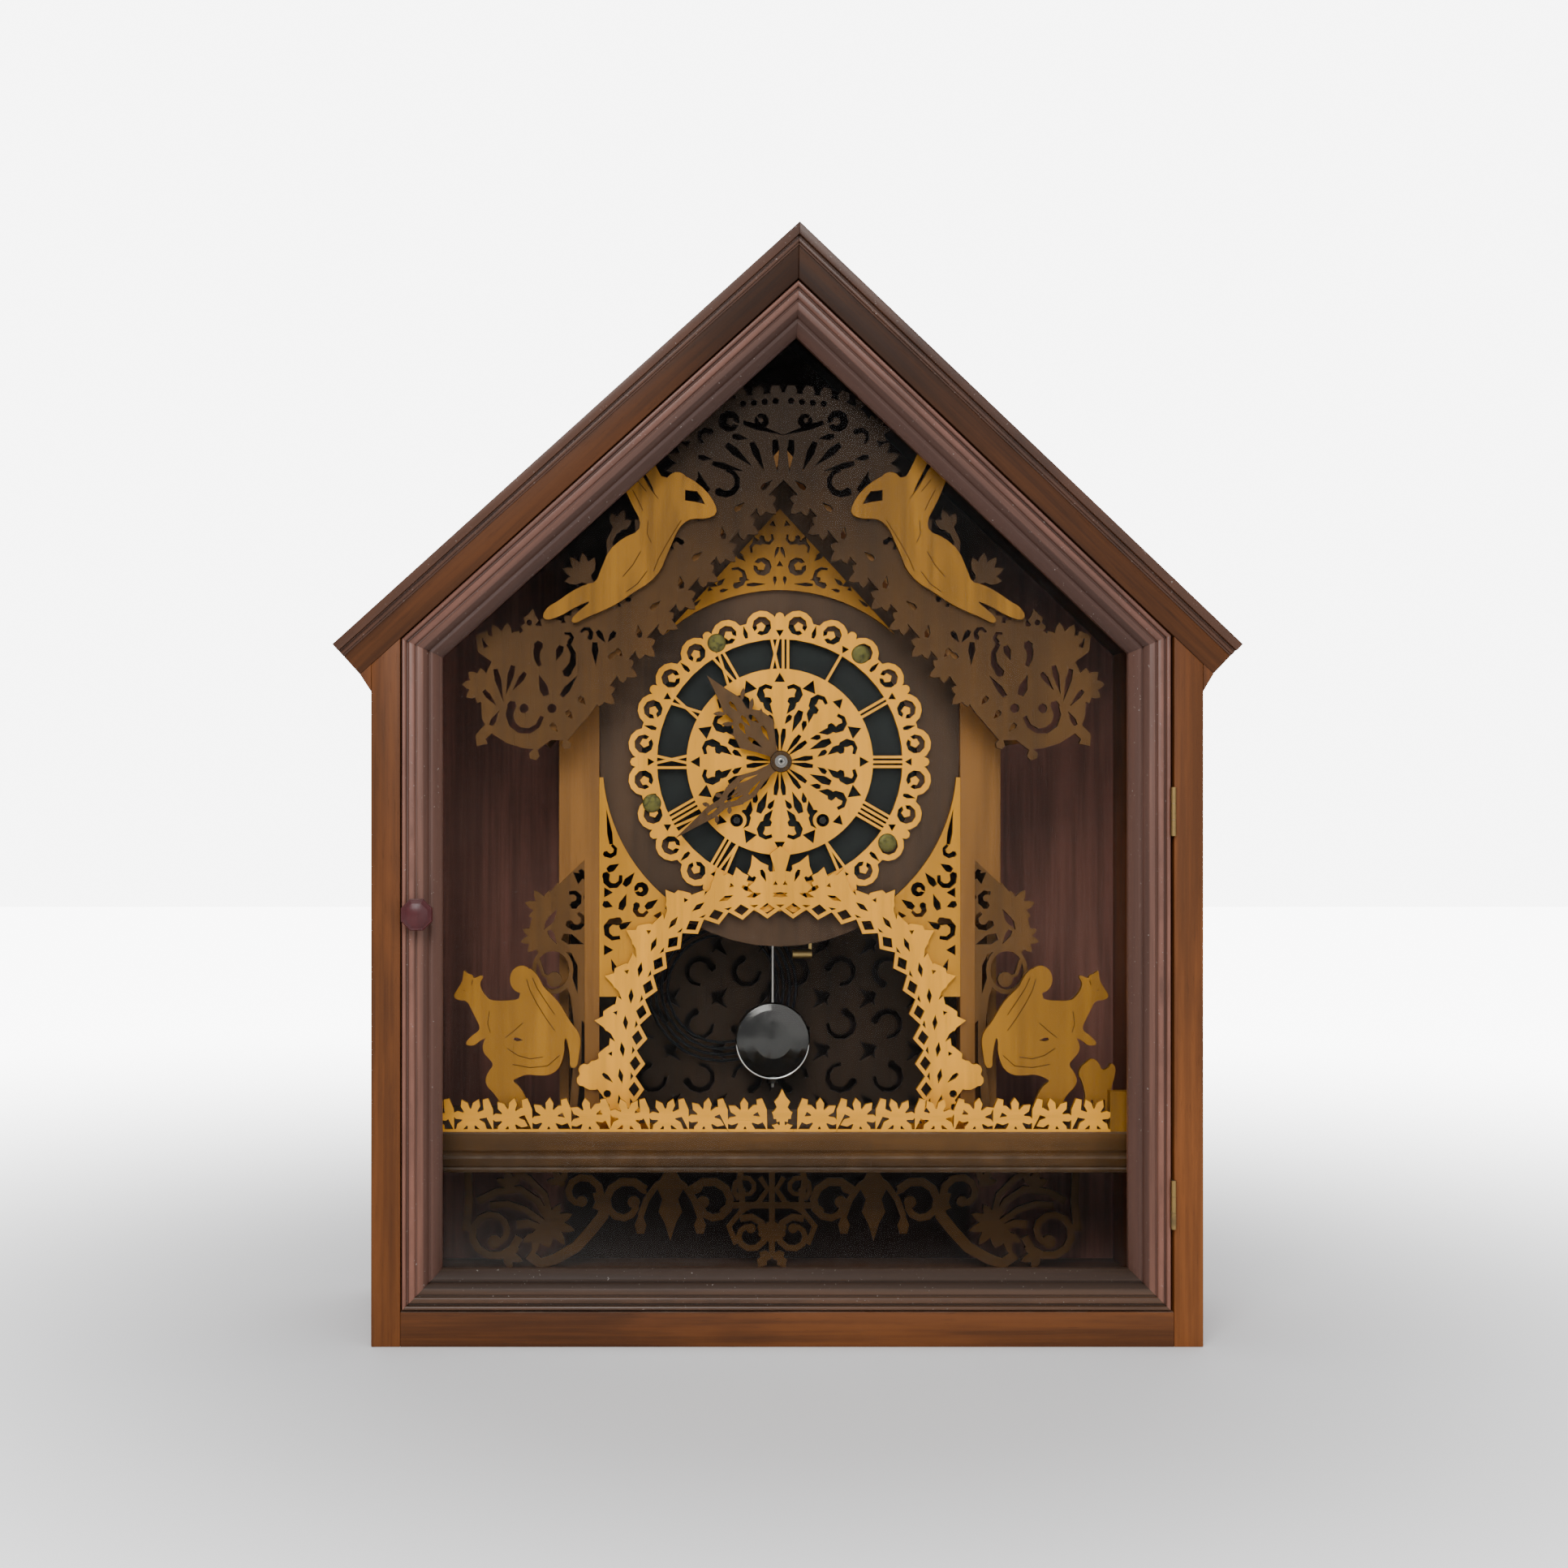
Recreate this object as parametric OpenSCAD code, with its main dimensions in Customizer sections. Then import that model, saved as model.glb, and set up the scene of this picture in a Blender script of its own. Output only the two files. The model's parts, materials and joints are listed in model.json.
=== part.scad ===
// Fretwork clock: a pierced wooden house clock standing inside a gabled case with a glazed door.
// Millimetres, Z up, X to the right, the front faces -Y, the origin is the middle of the case's base.

/* [Case] */
// Width over the side boards
case_w = 513; // [500:1:540]
// Depth from the front edges to the back
case_d = 160; // [156:1:200]
// Thickness of the side boards
side_t = 18; // [14:1:20]
// Thickness of the bottom board
bottom_t = 21.5; // [16:0.5:24]
// Thickness of the back board
back_t = 8; // [5:1:10]
// Height of the ridge above the base
ridge_h = 693; // [685:1:730]
// How far the ridge sits to the right of the middle
ridge_x = 7.5; // [0:0.5:10]
// Height of the eaves' upper corners
eave_h = 433; // [425:1:450]
// How far the eaves reach beyond the side boards
eave_out = 23.5; // [20:0.5:32]
// Thickness of the roof boards
roof_t = 15; // [12:1:18]
// Thickness of the moulded boards that cover the roof
cover_t = 10; // [8:1:12]
// How far the covering boards stand in front of the case
cover_lip = 3; // [1:0.5:5]

/* [Door] */
// Thickness of the door
door_t = 19; // [17:0.5:20]
// Width of the door's mouldings
door_w = 24.5; // [22:0.5:28]
// Gap round the door
door_gap = 0.8; // [0.5:0.1:1.5]
// Thickness of the glass
glass_t = 2; // [1.5:0.5:3]
// Height of the middle of the knob
knob_z = 267; // [150:1:380]
// Size of the knob across its corners
knob_d = 21; // [16:1:24]
// How far the knob stands out
knob_out = 14; // [8:1:20]
// Length of each hinge
hinge_len = 30; // [20:1:40]
// Height of the middle of the lower hinge
hinge_low = 88; // [60:1:140]
// Height of the middle of the upper hinge
hinge_high = 330; // [250:1:380]
// Diameter of the hinges' knuckles
knuckle_d = 3.2; // [3:0.1:4]
// Diameter of the hinges' pins
pin_d = 1.6; // [1.2:0.1:1.8]
// Thickness of each hinge leaf
leaf_t = 0.8; // [0.6:0.1:1]

/* [Shelf] */
// Height of the shelf's upper face
shelf_z = 127; // [115:1:135]
// Thickness of the shelf
shelf_t = 12; // [8:1:15]
// Height of the moulding on the shelf's front edge
shelf_edge_h = 25.5; // [18:0.5:30]
// Thickness of that moulding
shelf_edge_t = 4; // [3:0.5:6]
// Height of the leaf border on the shelf
gallery_h = 24; // [18:1:30]
// Place across the shelf where the end block starts
end_block_x = 208; // [204:0.5:210]
// Width of the end block
end_block_w = 12; // [8:0.5:14]
// Height of the end block
end_block_h = 25.6; // [20:0.2:30]

/* [Fretwork] */
// Thickness of the sawn wood
fret_t = 3.5; // [2.5:0.5:4]
// Radius that the saw blade leaves in a corner
blade_r = 0.35; // [0.2:0.05:0.5]
// Height of the dial's centre above the shelf
dial_up = 235; // [225:1:245]
// Radius of the sawn dial
dial_r = 98; // [90:1:102]
// Outer radius of the ring of numerals
chapter_out = 79; // [76:0.5:82]
// Inner radius of the ring of numerals
chapter_in = 60; // [56:0.5:63]
// Radius of the curved edges round the dial
halo_r = 112; // [106:1:114]
// Half the width of the arch's opening
arch_half = 87.5; // [84:0.5:90]
// Height of the arch's opening above the shelf
arch_h = 134.5; // [128:0.5:138]
// Number of lozenges along the arch
arch_cells = 24; // [18:6:30]
// How far each cut of the frets is opened on either side
cut_grow = 0.4; // [0.2:0.05:0.5]
// Share of its drawn half-width that the gable takes
gable_spread = 0.978; // [0.96:0.002:1]
// Steepness of the small house's roof, in degrees
rake = 50; // [48:0.5:52]
// Depth of the small house's eaves
porch = 20; // [17:0.5:24]

/* [House] */
// Inner distance between the posts
post_gap = 232; // [230:1:244]
// Width of each post's broad upper part
post_w = 26; // [24:0.5:28]
// Width of each post's narrow lower part
post_strip = 9.6; // [8:0.2:12]
// Height above the shelf where the broad part starts, at the inner edge
corbel_h = 181; // [176:1:184]
// Depth of each post
post_d = 15; // [10:1:20]
// Thickness of the face board
face_t = 8; // [6:0.5:10]
// Thickness of the house's roof boards and sides
house_t = 6; // [4:0.5:8]
// Glue line between two boards or lengths that meet
ridge_joint = 0.2; // [0.1:0.05:0.3]
// Depth of the blind recess behind the dial
recess_d = 4; // [3:0.5:4.5]
// Thickness of the dark plate behind the numerals
plate_back_t = 1; // [0.6:0.1:1.5]

/* [Time] */
// Hour that the hands show
show_hour = 10; // [0:1:11]
// Minute that the hands show
show_minute = 39; // [0:1:59]
// Length of the hour hand from its centre
hour_len = 72.5; // [60:0.5:76]
// Length of the minute hand from its centre
minute_len = 83.5; // [76:0.5:92]

/* [Movement] */
// Distance between the movement's plates
plates_gap = 30; // [28:1:32]
// Thickness of each plate
plate_t = 1.6; // [1.2:0.1:2]
// Half the distance between the winding arbors
wind_x = 27.7; // [26:0.1:30]
// How far the winding arbors lie below the dial's centre
wind_down = 37.6; // [34:0.1:42]
// Diameter of the winding arbors
wind_d = 4.4; // [3.6:0.1:5]
// Diameter of the spring barrels
barrel_d = 46; // [36:1:50]
// Turns of the centre arbor for one turn of a barrel
train_ratio = 6; // [5:1:8]
// Diameter of the centre arbor
arbor_d = 3.2; // [2.4:0.1:3.6]
// Wall of the hour hand's pipe
pipe_wall = 0.9; // [0.6:0.1:1.2]
// Running clearance of pins and arbors
running = 0.05; // [0.02:0.01:0.08]
// Length from the pendulum's pivot to the middle of its bob
pendulum_len = 227; // [205:1:235]
// Diameter of the pendulum's bob
bob_d = 50; // [40:1:54]
// Thickness of the bob
bob_t = 10; // [8:1:12]
// Radius of the gong's outer turn
gong_r = 52; // [44:1:56]
// Number of turns of the gong
gong_turns = 4; // [2:1:5]

/* [Hidden] */

// Places derived from the sizes above
inner_x = case_w / 2 - side_t;
eave_x = case_w / 2 + eave_out;
front_y = -case_d / 2;
back_y = case_d / 2 - back_t;
rake_left = atan2(ridge_h - eave_h, eave_x + ridge_x);
rake_right = atan2(ridge_h - eave_h, eave_x - ridge_x);
slope_left = [sin(rake_left), -cos(rake_left)];
slope_right = [-sin(rake_right), -cos(rake_right)];
roof_deep = cover_t + roof_t;
hinge_gap = 2 * leaf_t + 0.2;
hinge_x = inner_x - hinge_gap / 2;
hinge_y = front_y - knuckle_d / 2;
rebate_w = 6;
glass_in = 12;

// Depths of the layers of the small house, from the door towards the back
figure_y = front_y + door_t + 5;
gable_y = figure_y + fret_t;
porch_y = gable_y + fret_t;
arch_y = porch_y + porch;
panel_y = arch_y + fret_t;
face_y = panel_y + fret_t;
works_y = face_y + face_t;
foot_len = 6;
front_plate_y = works_y + foot_len;
back_plate_y = front_plate_y + plate_t + plates_gap;
pendulum_y = back_plate_y + plate_t + 7;
gong_y = pendulum_y + bob_t / 2 + 6;
back_fret_y = gong_y + 10;
edge_y = front_y + door_t + 15;
gallery_y = edge_y + 2;
kneeler_y = arch_y - 2 * fret_t;
pelmet_y = back_fret_y - 16;

// Heights and widths of the small house
dial_z = shelf_z + dial_up;
post_in = post_gap / 2;
post_out = post_in + post_w;
roof_low = dial_z + 190;
house_eave = post_out + 8;
face_bottom_r = halo_r + 7;

// Hands and movement
hour_y = arch_y - 2.5;
minute_y = hour_y - 3;
hand_t = 2;
wind_z = dial_z - wind_down;
pivot_z = dial_z + 42;
verge_z = pivot_z - 12;
fork_z = pivot_z - 54;
bob_z = pivot_z - pendulum_len;
wheel_gap = norm([wind_x, wind_down]);
wheel_y = front_plate_y + plate_t + 1.4;
barrel_y = wheel_y + 7.4;
barrel_len = back_plate_y - barrel_y - 1;
hammer_x = 26;
hammer_z = dial_z - 83;
hammer_drop = 45;
minute_angle = 6 * show_minute;
hour_angle = 30 * (show_hour + show_minute / 60);
numerals = ["XII", "I", "II", "III", "IIII", "V", "VI", "VII", "VIII", "IX", "X", "XI"];

case_edge_colour = "#7a4a30";
moulding_colour = "#74564c";
maple = "#d9a860";
deep_maple = "#a87a48";
post_wood = "#96683f";
dark_wood = "#4a3a30";
brass = "#b08d4a";
steel = "#9aa0a4";

// Plane geometry
function unit(v) = v / norm(v);
function cross_at(l1, l2, d) =
  let (n1 = l1[0], n2 = l2[0], c1 = l1[1] + d, c2 = l2[1] + d, k = n1.x * n2.y - n1.y * n2.x)
  [(c1 * n2.y - c2 * n1.y) / k, (n1.x * c2 - n2.x * c1) / k];
// Steps that keep a polyline within about half a millimetre of its curve
function steps(r, sweep) = max(3, ceil(abs(sweep) * sqrt(r) / 115));
function spiral(r0, r1, a0, a1) = let (n = steps((r0 + r1) / 2, a1 - a0))
  [for (i = [0:n]) let (t = i / n, a = a0 + (a1 - a0) * t) (r0 + (r1 - r0) * t) * [cos(a), sin(a)]];
function tangent(p, k) = unit(p[min(k + 1, len(p) - 1)] - p[max(k - 1, 0)]);
function beside(p, k, w) = p[k] + w * [-tangent(p, k).y, tangent(p, k).x];
function flip(p) = [for (q = p) [q.x, -q.y]];
function reverse(p) = [for (i = [len(p) - 1:-1:0]) p[i]];
// One pass of corner cutting, which rounds a closed outline
function rounded(p) = [for (i = [0:len(p) - 1]) let (a = p[i], b = p[(i + 1) % len(p)])
  each [0.75 * a + 0.25 * b, 0.25 * a + 0.75 * b]];

// A strip along points, its width going from w0 to w1
module ribbon(p, w0, w1) {
  n = len(p) - 1;
  polygon(concat(
    [for (k = [0:n]) beside(p, k, (w0 + (w1 - w0) * k / n) / 2)],
    [for (k = [n:-1:0]) beside(p, k, -(w0 + (w1 - w0) * k / n) / 2)]));
}

// An upright board between y and y + t, drawn in X and Z
module upright(y, t) {
  translate([0, y + t, 0]) rotate([90, 0, 0]) linear_extrude(t) children();
}

// Sawn wood: the blade rounds every inner corner
module sawn(y, t = fret_t) {
  upright(y, t) offset(delta = -blade_r) offset(delta = blade_r) children();
}

module both_sides() {
  children();
  mirror([1, 0, 0]) children();
}

module both_halves() {
  children();
  mirror([1, 0]) children();
}

// Along Y, from y0 to y1
module along_y(y0, y1, r, x = 0, z = 0) {
  translate([x, y1, z]) rotate([90, 0, 0]) cylinder(r = r, h = y1 - y0, $fn = 48);
}

// Fretwork motifs
// A scroll that winds in to a ball, its stem starting at radius r on the X axis
module scroll(r, w, sweep = 330) {
  ribbon(spiral(r, 0.42 * r, 0, sweep), w, 0.75 * w);
  translate(0.36 * r * [cos(sweep), sin(sweep)]) circle(0.26 * r, $fn = 9);
}

// A pointed blade along X
module blade(l, w) {
  side = [[0, w / 4], [0.5 * l, w / 2], [0.8 * l, w / 3.2], [l, 0]];
  polygon(concat(side, reverse(flip(side))));
}

// A fan of blades
module spray(n, l, spread, w) {
  for (i = [0:n - 1]) {
    k = n == 1 ? 0 : i / (n - 1) - 0.5;
    rotate(k * spread) blade(l * (1 - 0.7 * k * k), w);
  }
  circle(0.22 * l, $fn = 7);
}

// A lobed leaf along X
module leaf(l, w) {
  side = [[0, 0.2 * w], [0.22 * l, 0.5 * w], [0.4 * l, 0.28 * w], [0.58 * l, 0.42 * w],
    [0.74 * l, 0.2 * w], [l, 0]];
  polygon(concat(side, reverse(flip(side))));
}

// A teardrop along X
module tear(l, w) {
  polygon([[0, 0], [0.6 * l, w / 2], [0.94 * l, 0.3 * w], [0.94 * l, -0.3 * w], [0.6 * l, -w / 2]]);
}

// A hooked cut that leaves a ball inside it
module hook(r, w, sweep = 225) {
  ribbon(spiral(r, r, 0, sweep), 0.4 * w, w);
  translate(r * [cos(sweep), sin(sweep)]) circle(0.62 * w, $fn = 6);
}

// A round hole with a ball of wood that grows into it
module eye(r) {
  difference() {
    circle(r, $fn = 9);
    translate([0.15 * r, 0]) circle(0.5 * r, $fn = 5);
    translate([0.3 * r, -0.17 * r]) square([r, 0.34 * r]);
  }
}

module triangle(s) {
  circle(s, $fn = 3);
}

// A flower with narrow petals
module blossom(r, petals) {
  circle(0.46 * r, $fn = petals);
  for (i = [0:petals - 1]) rotate(360 * (i + 0.5) / petals)
    polygon([[0, -0.12 * r], [0.72 * r, -0.2 * r], [r, 0], [0.72 * r, 0.2 * r], [0, 0.12 * r]]);
}

// Boards of the case
// A mitred length between two lines, its section given as insets and depths behind the front edges
module moulded(start, end, section) {
  n = len(section);
  points = concat(
    [for (s = section) [start(s[0]).x, front_y + s[1], start(s[0]).y]],
    [for (s = section) [end(s[0]).x, front_y + s[1], end(s[0]).y]]);
  polyhedron(points, concat(
    [[for (i = [0:n - 1]) i]],
    [[for (i = [n - 1:-1:0]) n + i]],
    [for (i = [0:n - 1]) [i, n + i, n + (i + 1) % n, (i + 1) % n]]), convexity = 6);
}

// Lines round the case's front, each with its inward normal and its distance
line_left = [slope_left, slope_left * [ridge_x, ridge_h]];
line_right = [slope_right, slope_right * [ridge_x, ridge_h]];
wall_left = [[1, 0], -inner_x];
wall_right = [[-1, 0], -inner_x];
function moved(l, d) = [l[0], l[1] + d];
function ridge_at(d) = cross_at(line_left, line_right, d);
function eave_left_at(d) = [-eave_x, eave_h] + d * slope_left;
function eave_right_at(d) = [eave_x, eave_h] + d * slope_right;
function roof_z(x, d) = x < ridge_x
  ? (line_left[1] + d - slope_left.x * x) / slope_left.y
  : (line_right[1] + d - slope_right.x * x) / slope_right.y;

door_left = moved(wall_left, door_gap);
door_right = moved(wall_right, hinge_gap);
door_foot = [[0, 1], bottom_t + door_gap];
door_slope_left = moved(line_left, roof_deep + door_gap);
door_slope_right = moved(line_right, roof_deep + door_gap);
function corner_a(d) = cross_at(door_foot, door_left, d);
function corner_b(d) = cross_at(door_left, door_slope_left, d);
function corner_c(d) = cross_at(door_slope_left, door_slope_right, d);
function corner_d(d) = cross_at(door_slope_right, door_right, d);
function corner_e(d) = cross_at(door_right, door_foot, d);
function door_outline(d) = [corner_a(d), corner_e(d), corner_d(d), corner_c(d), corner_b(d)];

// The door's section: beads, a groove, an ogee and an inner slope, then the glass's rebate
door_section = [
  [0, 1.2], [0.6, 0.2], [1.6, 0], [2.6, 0.4], [3.1, 1.6], [4, 1.6], [4.6, 0.3], [6.4, 0], [8, 0.4],
  [8.6, 1.4], [9.4, 1.4], [9.8, 0.8], [13, 1.2], [15.2, 2.6], [16.6, 4.4], [17.4, 4.4], [17.6, 3.2],
  [19, 3.2], [22, 5], [door_w, 8], [door_w, glass_in], [door_w - rebate_w, glass_in],
  [door_w - rebate_w, door_t], [0, door_t]
];
// The covering boards' section, as insets from the top and depths behind the case's front: a
// standing fillet, a groove and a flat bead
cover_section = [
  [0, -cover_lip], [0.55 * cover_t, -cover_lip], [0.55 * cover_t, 0], [0.7 * cover_t, 0],
  [0.7 * cover_t, -0.4 * cover_lip], [0.88 * cover_t, -0.4 * cover_lip], [0.88 * cover_t, 0],
  [cover_t, 0], [cover_t, case_d], [0, case_d]
];

module roof_board(start, end) {
  upright(front_y, case_d)
    polygon([start(cover_t), end(cover_t), end(roof_deep), start(roof_deep)]);
}
// A covering board runs up its slope from a square end at the eave to a mitre at the ridge
module roof_cover(side, normal, eave) {
  rake = atan2(-side * normal.x, -normal.y);
  intersection() {
    translate([eave.x, front_y, eave.y]) rotate([0, side * (rake - 90), 0])
      linear_extrude(case_w) polygon([for (p = cover_section) [-side * p.x, p.y]]);
    upright(front_y - 2 * cover_lip, 2 * case_d) polygon([
      ridge_at(-roof_deep), ridge_at(2 * roof_deep), [side * case_w, 0], [side * case_w, 2 * eave_h]]);
  }
}

module side_board(a, b) {
  upright(front_y, case_d)
    polygon([[a, 0], [b, 0], [b, roof_z(b, roof_deep)], [a, roof_z(a, roof_deep)]]);
}
module case_side_left() {
  color(case_edge_colour) side_board(-case_w / 2, -inner_x);
}
module case_side_right() {
  color(case_edge_colour) side_board(inner_x, case_w / 2);
}
module case_bottom() {
  color(case_edge_colour) upright(front_y, case_d)
    polygon([[-inner_x, 0], [inner_x, 0], [inner_x, bottom_t], [-inner_x, bottom_t]]);
}
module case_back() {
  ridge = ridge_at(roof_deep);
  color(dark_wood) upright(back_y, back_t) polygon([
    [-inner_x, bottom_t], [inner_x, bottom_t], [inner_x, roof_z(inner_x, roof_deep)], ridge,
    [-inner_x, roof_z(-inner_x, roof_deep)]]);
}
module roof_board_left() {
  color(case_edge_colour) roof_board(function (d) eave_left_at(d), function (d) ridge_at(d));
}
module roof_board_right() {
  color(case_edge_colour) roof_board(function (d) eave_right_at(d), function (d) ridge_at(d));
}
module roof_cover_left() {
  color(moulding_colour) roof_cover(-1, slope_left, eave_left_at(0));
}
module roof_cover_right() {
  color(moulding_colour) roof_cover(1, slope_right, eave_right_at(0));
}
// Small three-sided mouldings that fill the corner between the eaves and the walls
module eave_moulds() {
  x = case_w / 2;
  low = 11;
  color(case_edge_colour) {
    upright(front_y, case_d)
      polygon([[-x, roof_z(-x, roof_deep)], eave_left_at(roof_deep),
        [-x, roof_z(-x, roof_deep) - 1.5 * low]]);
    upright(front_y, case_d)
      polygon([[x, roof_z(x, roof_deep)], eave_right_at(roof_deep),
        [x, roof_z(x, roof_deep) - 1.5 * low]]);
  }
}

// The door
module door_stile_left() {
  color(moulding_colour) moulded(function (d) corner_a(d), function (d) corner_b(d), door_section);
}
module door_stile_right() {
  color(moulding_colour) moulded(function (d) corner_d(d), function (d) corner_e(d), door_section);
}
module door_rail() {
  color(moulding_colour) moulded(function (d) corner_e(d), function (d) corner_a(d), door_section);
}
module door_rafter_left() {
  color(moulding_colour) moulded(function (d) corner_b(d), function (d) corner_c(d), door_section);
}
module door_rafter_right() {
  color(moulding_colour) moulded(function (d) corner_c(d), function (d) corner_d(d), door_section);
}
module door_glass() {
  color("#c8d8dc") upright(front_y + glass_in, glass_t) polygon(door_outline(door_w - rebate_w + 0.2));
}
// Square strips that hold the glass from behind
module glazing_beads() {
  y = glass_in + glass_t;
  edge = door_w - rebate_w;
  section = [[edge, y], [edge + 5, y], [edge + 5, y + 2], [edge + 2.5, y + 4], [edge, y + 4]];
  color(moulding_colour) {
    moulded(function (d) corner_a(d), function (d) corner_b(d), section);
    moulded(function (d) corner_b(d), function (d) corner_c(d), section);
    moulded(function (d) corner_c(d), function (d) corner_d(d), section);
    moulded(function (d) corner_d(d), function (d) corner_e(d), section);
    moulded(function (d) corner_e(d), function (d) corner_a(d), section);
  }
}
// An eight-sided turned knob on a round shank
module door_knob() {
  x = -inner_x + door_gap + 0.42 * door_w;
  color(moulding_colour) translate([x, front_y - 0.2, knob_z]) rotate([90, 22.5, 0]) {
    cylinder(r = 0.3 * knob_d, h = 0.45 * knob_out, $fn = 48);
    translate([0, 0, 0.4 * knob_out])
      cylinder(r1 = 0.34 * knob_d, r2 = knob_d / 2, h = 0.25 * knob_out, $fn = 8);
    translate([0, 0, 0.65 * knob_out])
      cylinder(r = knob_d / 2, h = 0.15 * knob_out, $fn = 8);
    translate([0, 0, 0.8 * knob_out])
      cylinder(r1 = knob_d / 2, r2 = 0.36 * knob_d, h = 0.2 * knob_out, $fn = 8);
  }
}

// Hinges: two outer knuckles on the case, one middle knuckle on the door
module hinge_leaf(z, x, z0, z1) {
  difference() {
    union() {
      translate([x, front_y - 0.3 * knuckle_d, z - hinge_len / 2])
        cube([leaf_t, 12 + 0.3 * knuckle_d, hinge_len]);
      for (k = [0:len(z0) - 1]) translate([hinge_x, hinge_y, z + z0[k]])
        cylinder(d = knuckle_d, h = z1[k] - z0[k], $fn = 48);
    }
    translate([hinge_x, hinge_y, z - hinge_len])
      cylinder(d = pin_d + 2 * running, h = 2 * hinge_len, $fn = 48);
    children();
  }
}
// Room in a leaf for the other leaf's knuckles
module knuckle_room(z, z0, z1) {
  translate([hinge_x - knuckle_d, front_y - knuckle_d, z + z0]) cube([2 * knuckle_d, knuckle_d, z1 - z0]);
}
module hinge_door_leaves() {
  mid = hinge_len / 6;
  color(brass) for (z = [hinge_low, hinge_high])
    hinge_leaf(z, inner_x - hinge_gap, [-mid + 0.1], [mid - 0.1]) {
      knuckle_room(z, -hinge_len / 2 - 1, -mid + 0.1);
      knuckle_room(z, mid - 0.1, hinge_len / 2 + 1);
    }
}
module hinge_case_leaves() {
  mid = hinge_len / 6;
  color(brass) for (z = [hinge_low, hinge_high])
    hinge_leaf(z, inner_x - leaf_t, [-hinge_len / 2, mid + 0.1], [-mid - 0.1, hinge_len / 2])
      knuckle_room(z, -mid - 0.1, mid + 0.1);
}
module hinge_pins() {
  color(steel) for (z = [hinge_low, hinge_high])
    translate([hinge_x, hinge_y, z - hinge_len / 2]) cylinder(d = pin_d, h = hinge_len, $fn = 48);
}

// The shelf and what is on and under it
module shelf_board() {
  y = edge_y + shelf_edge_t;
  color(post_wood) translate([-inner_x, y, shelf_z - shelf_t])
    cube([2 * inner_x, back_y - y, shelf_t]);
}
module shelf_edge() {
  h = shelf_edge_h;
  t = shelf_edge_t;
  color(post_wood) translate([-inner_x, edge_y, shelf_z])
    rotate([90, 0, 90]) linear_extrude(2 * inner_x) polygon([
      [t, 0], [1, 0], [0, -1], [0, -0.45 * h], [0.5 * t, -0.53 * h], [0.5 * t, -0.6 * h],
      [0.1 * t, -0.66 * h], [0.1 * t, -0.84 * h], [0.4 * t, -0.88 * h], [0, -0.92 * h],
      [0, -h], [t, -h]]);
}

// A border in two lengths of blossoms and slanting leaves, with a trefoil between them
module gallery_length() {
  pitch = 24.8;
  count = floor((inner_x - 6) / pitch);
  start = 7 + ridge_joint;
  intersection() {
    translate([start, 0]) square([inner_x - start, gallery_h + 6]);
    union() {
      square([inner_x, 1.6]);
      for (i = [1:count]) translate([i * pitch - 1, 9]) {
        rotate(11 * i) blossom(12.6, 7);
        translate([-14.3, -8.4]) rotate(76) tear(22, 6);
      }
    }
  }
}
module gallery() {
  color(maple) {
    mirror([1, 0, 0]) sawn(gallery_y) translate([0, shelf_z]) gallery_length();
    sawn(gallery_y) translate([0, shelf_z]) intersection() {
      gallery_length();
      square([end_block_x, 40]);
    }
    sawn(gallery_y) translate([0, shelf_z]) {
      translate([-7, 0]) square([14, 1.6]);
      translate([-1.5, 0]) square([3, 10]);
      translate([0, 8]) rotate(90) leaf(19, 12);
      for (s = [-1, 1]) {
        translate([0, 8]) rotate(90 + 55 * s) leaf(8, 7);
        translate([0, 2]) rotate(90 + 72 * s) leaf(7, 5);
      }
    }
  }
}

// A plain block at the border's right-hand end, as deep as the step back to the figures' layer
module end_block() {
  color(maple) translate([end_block_x, gallery_y, shelf_z])
    cube([end_block_w, kneeler_y - gallery_y, end_block_h]);
}

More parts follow.
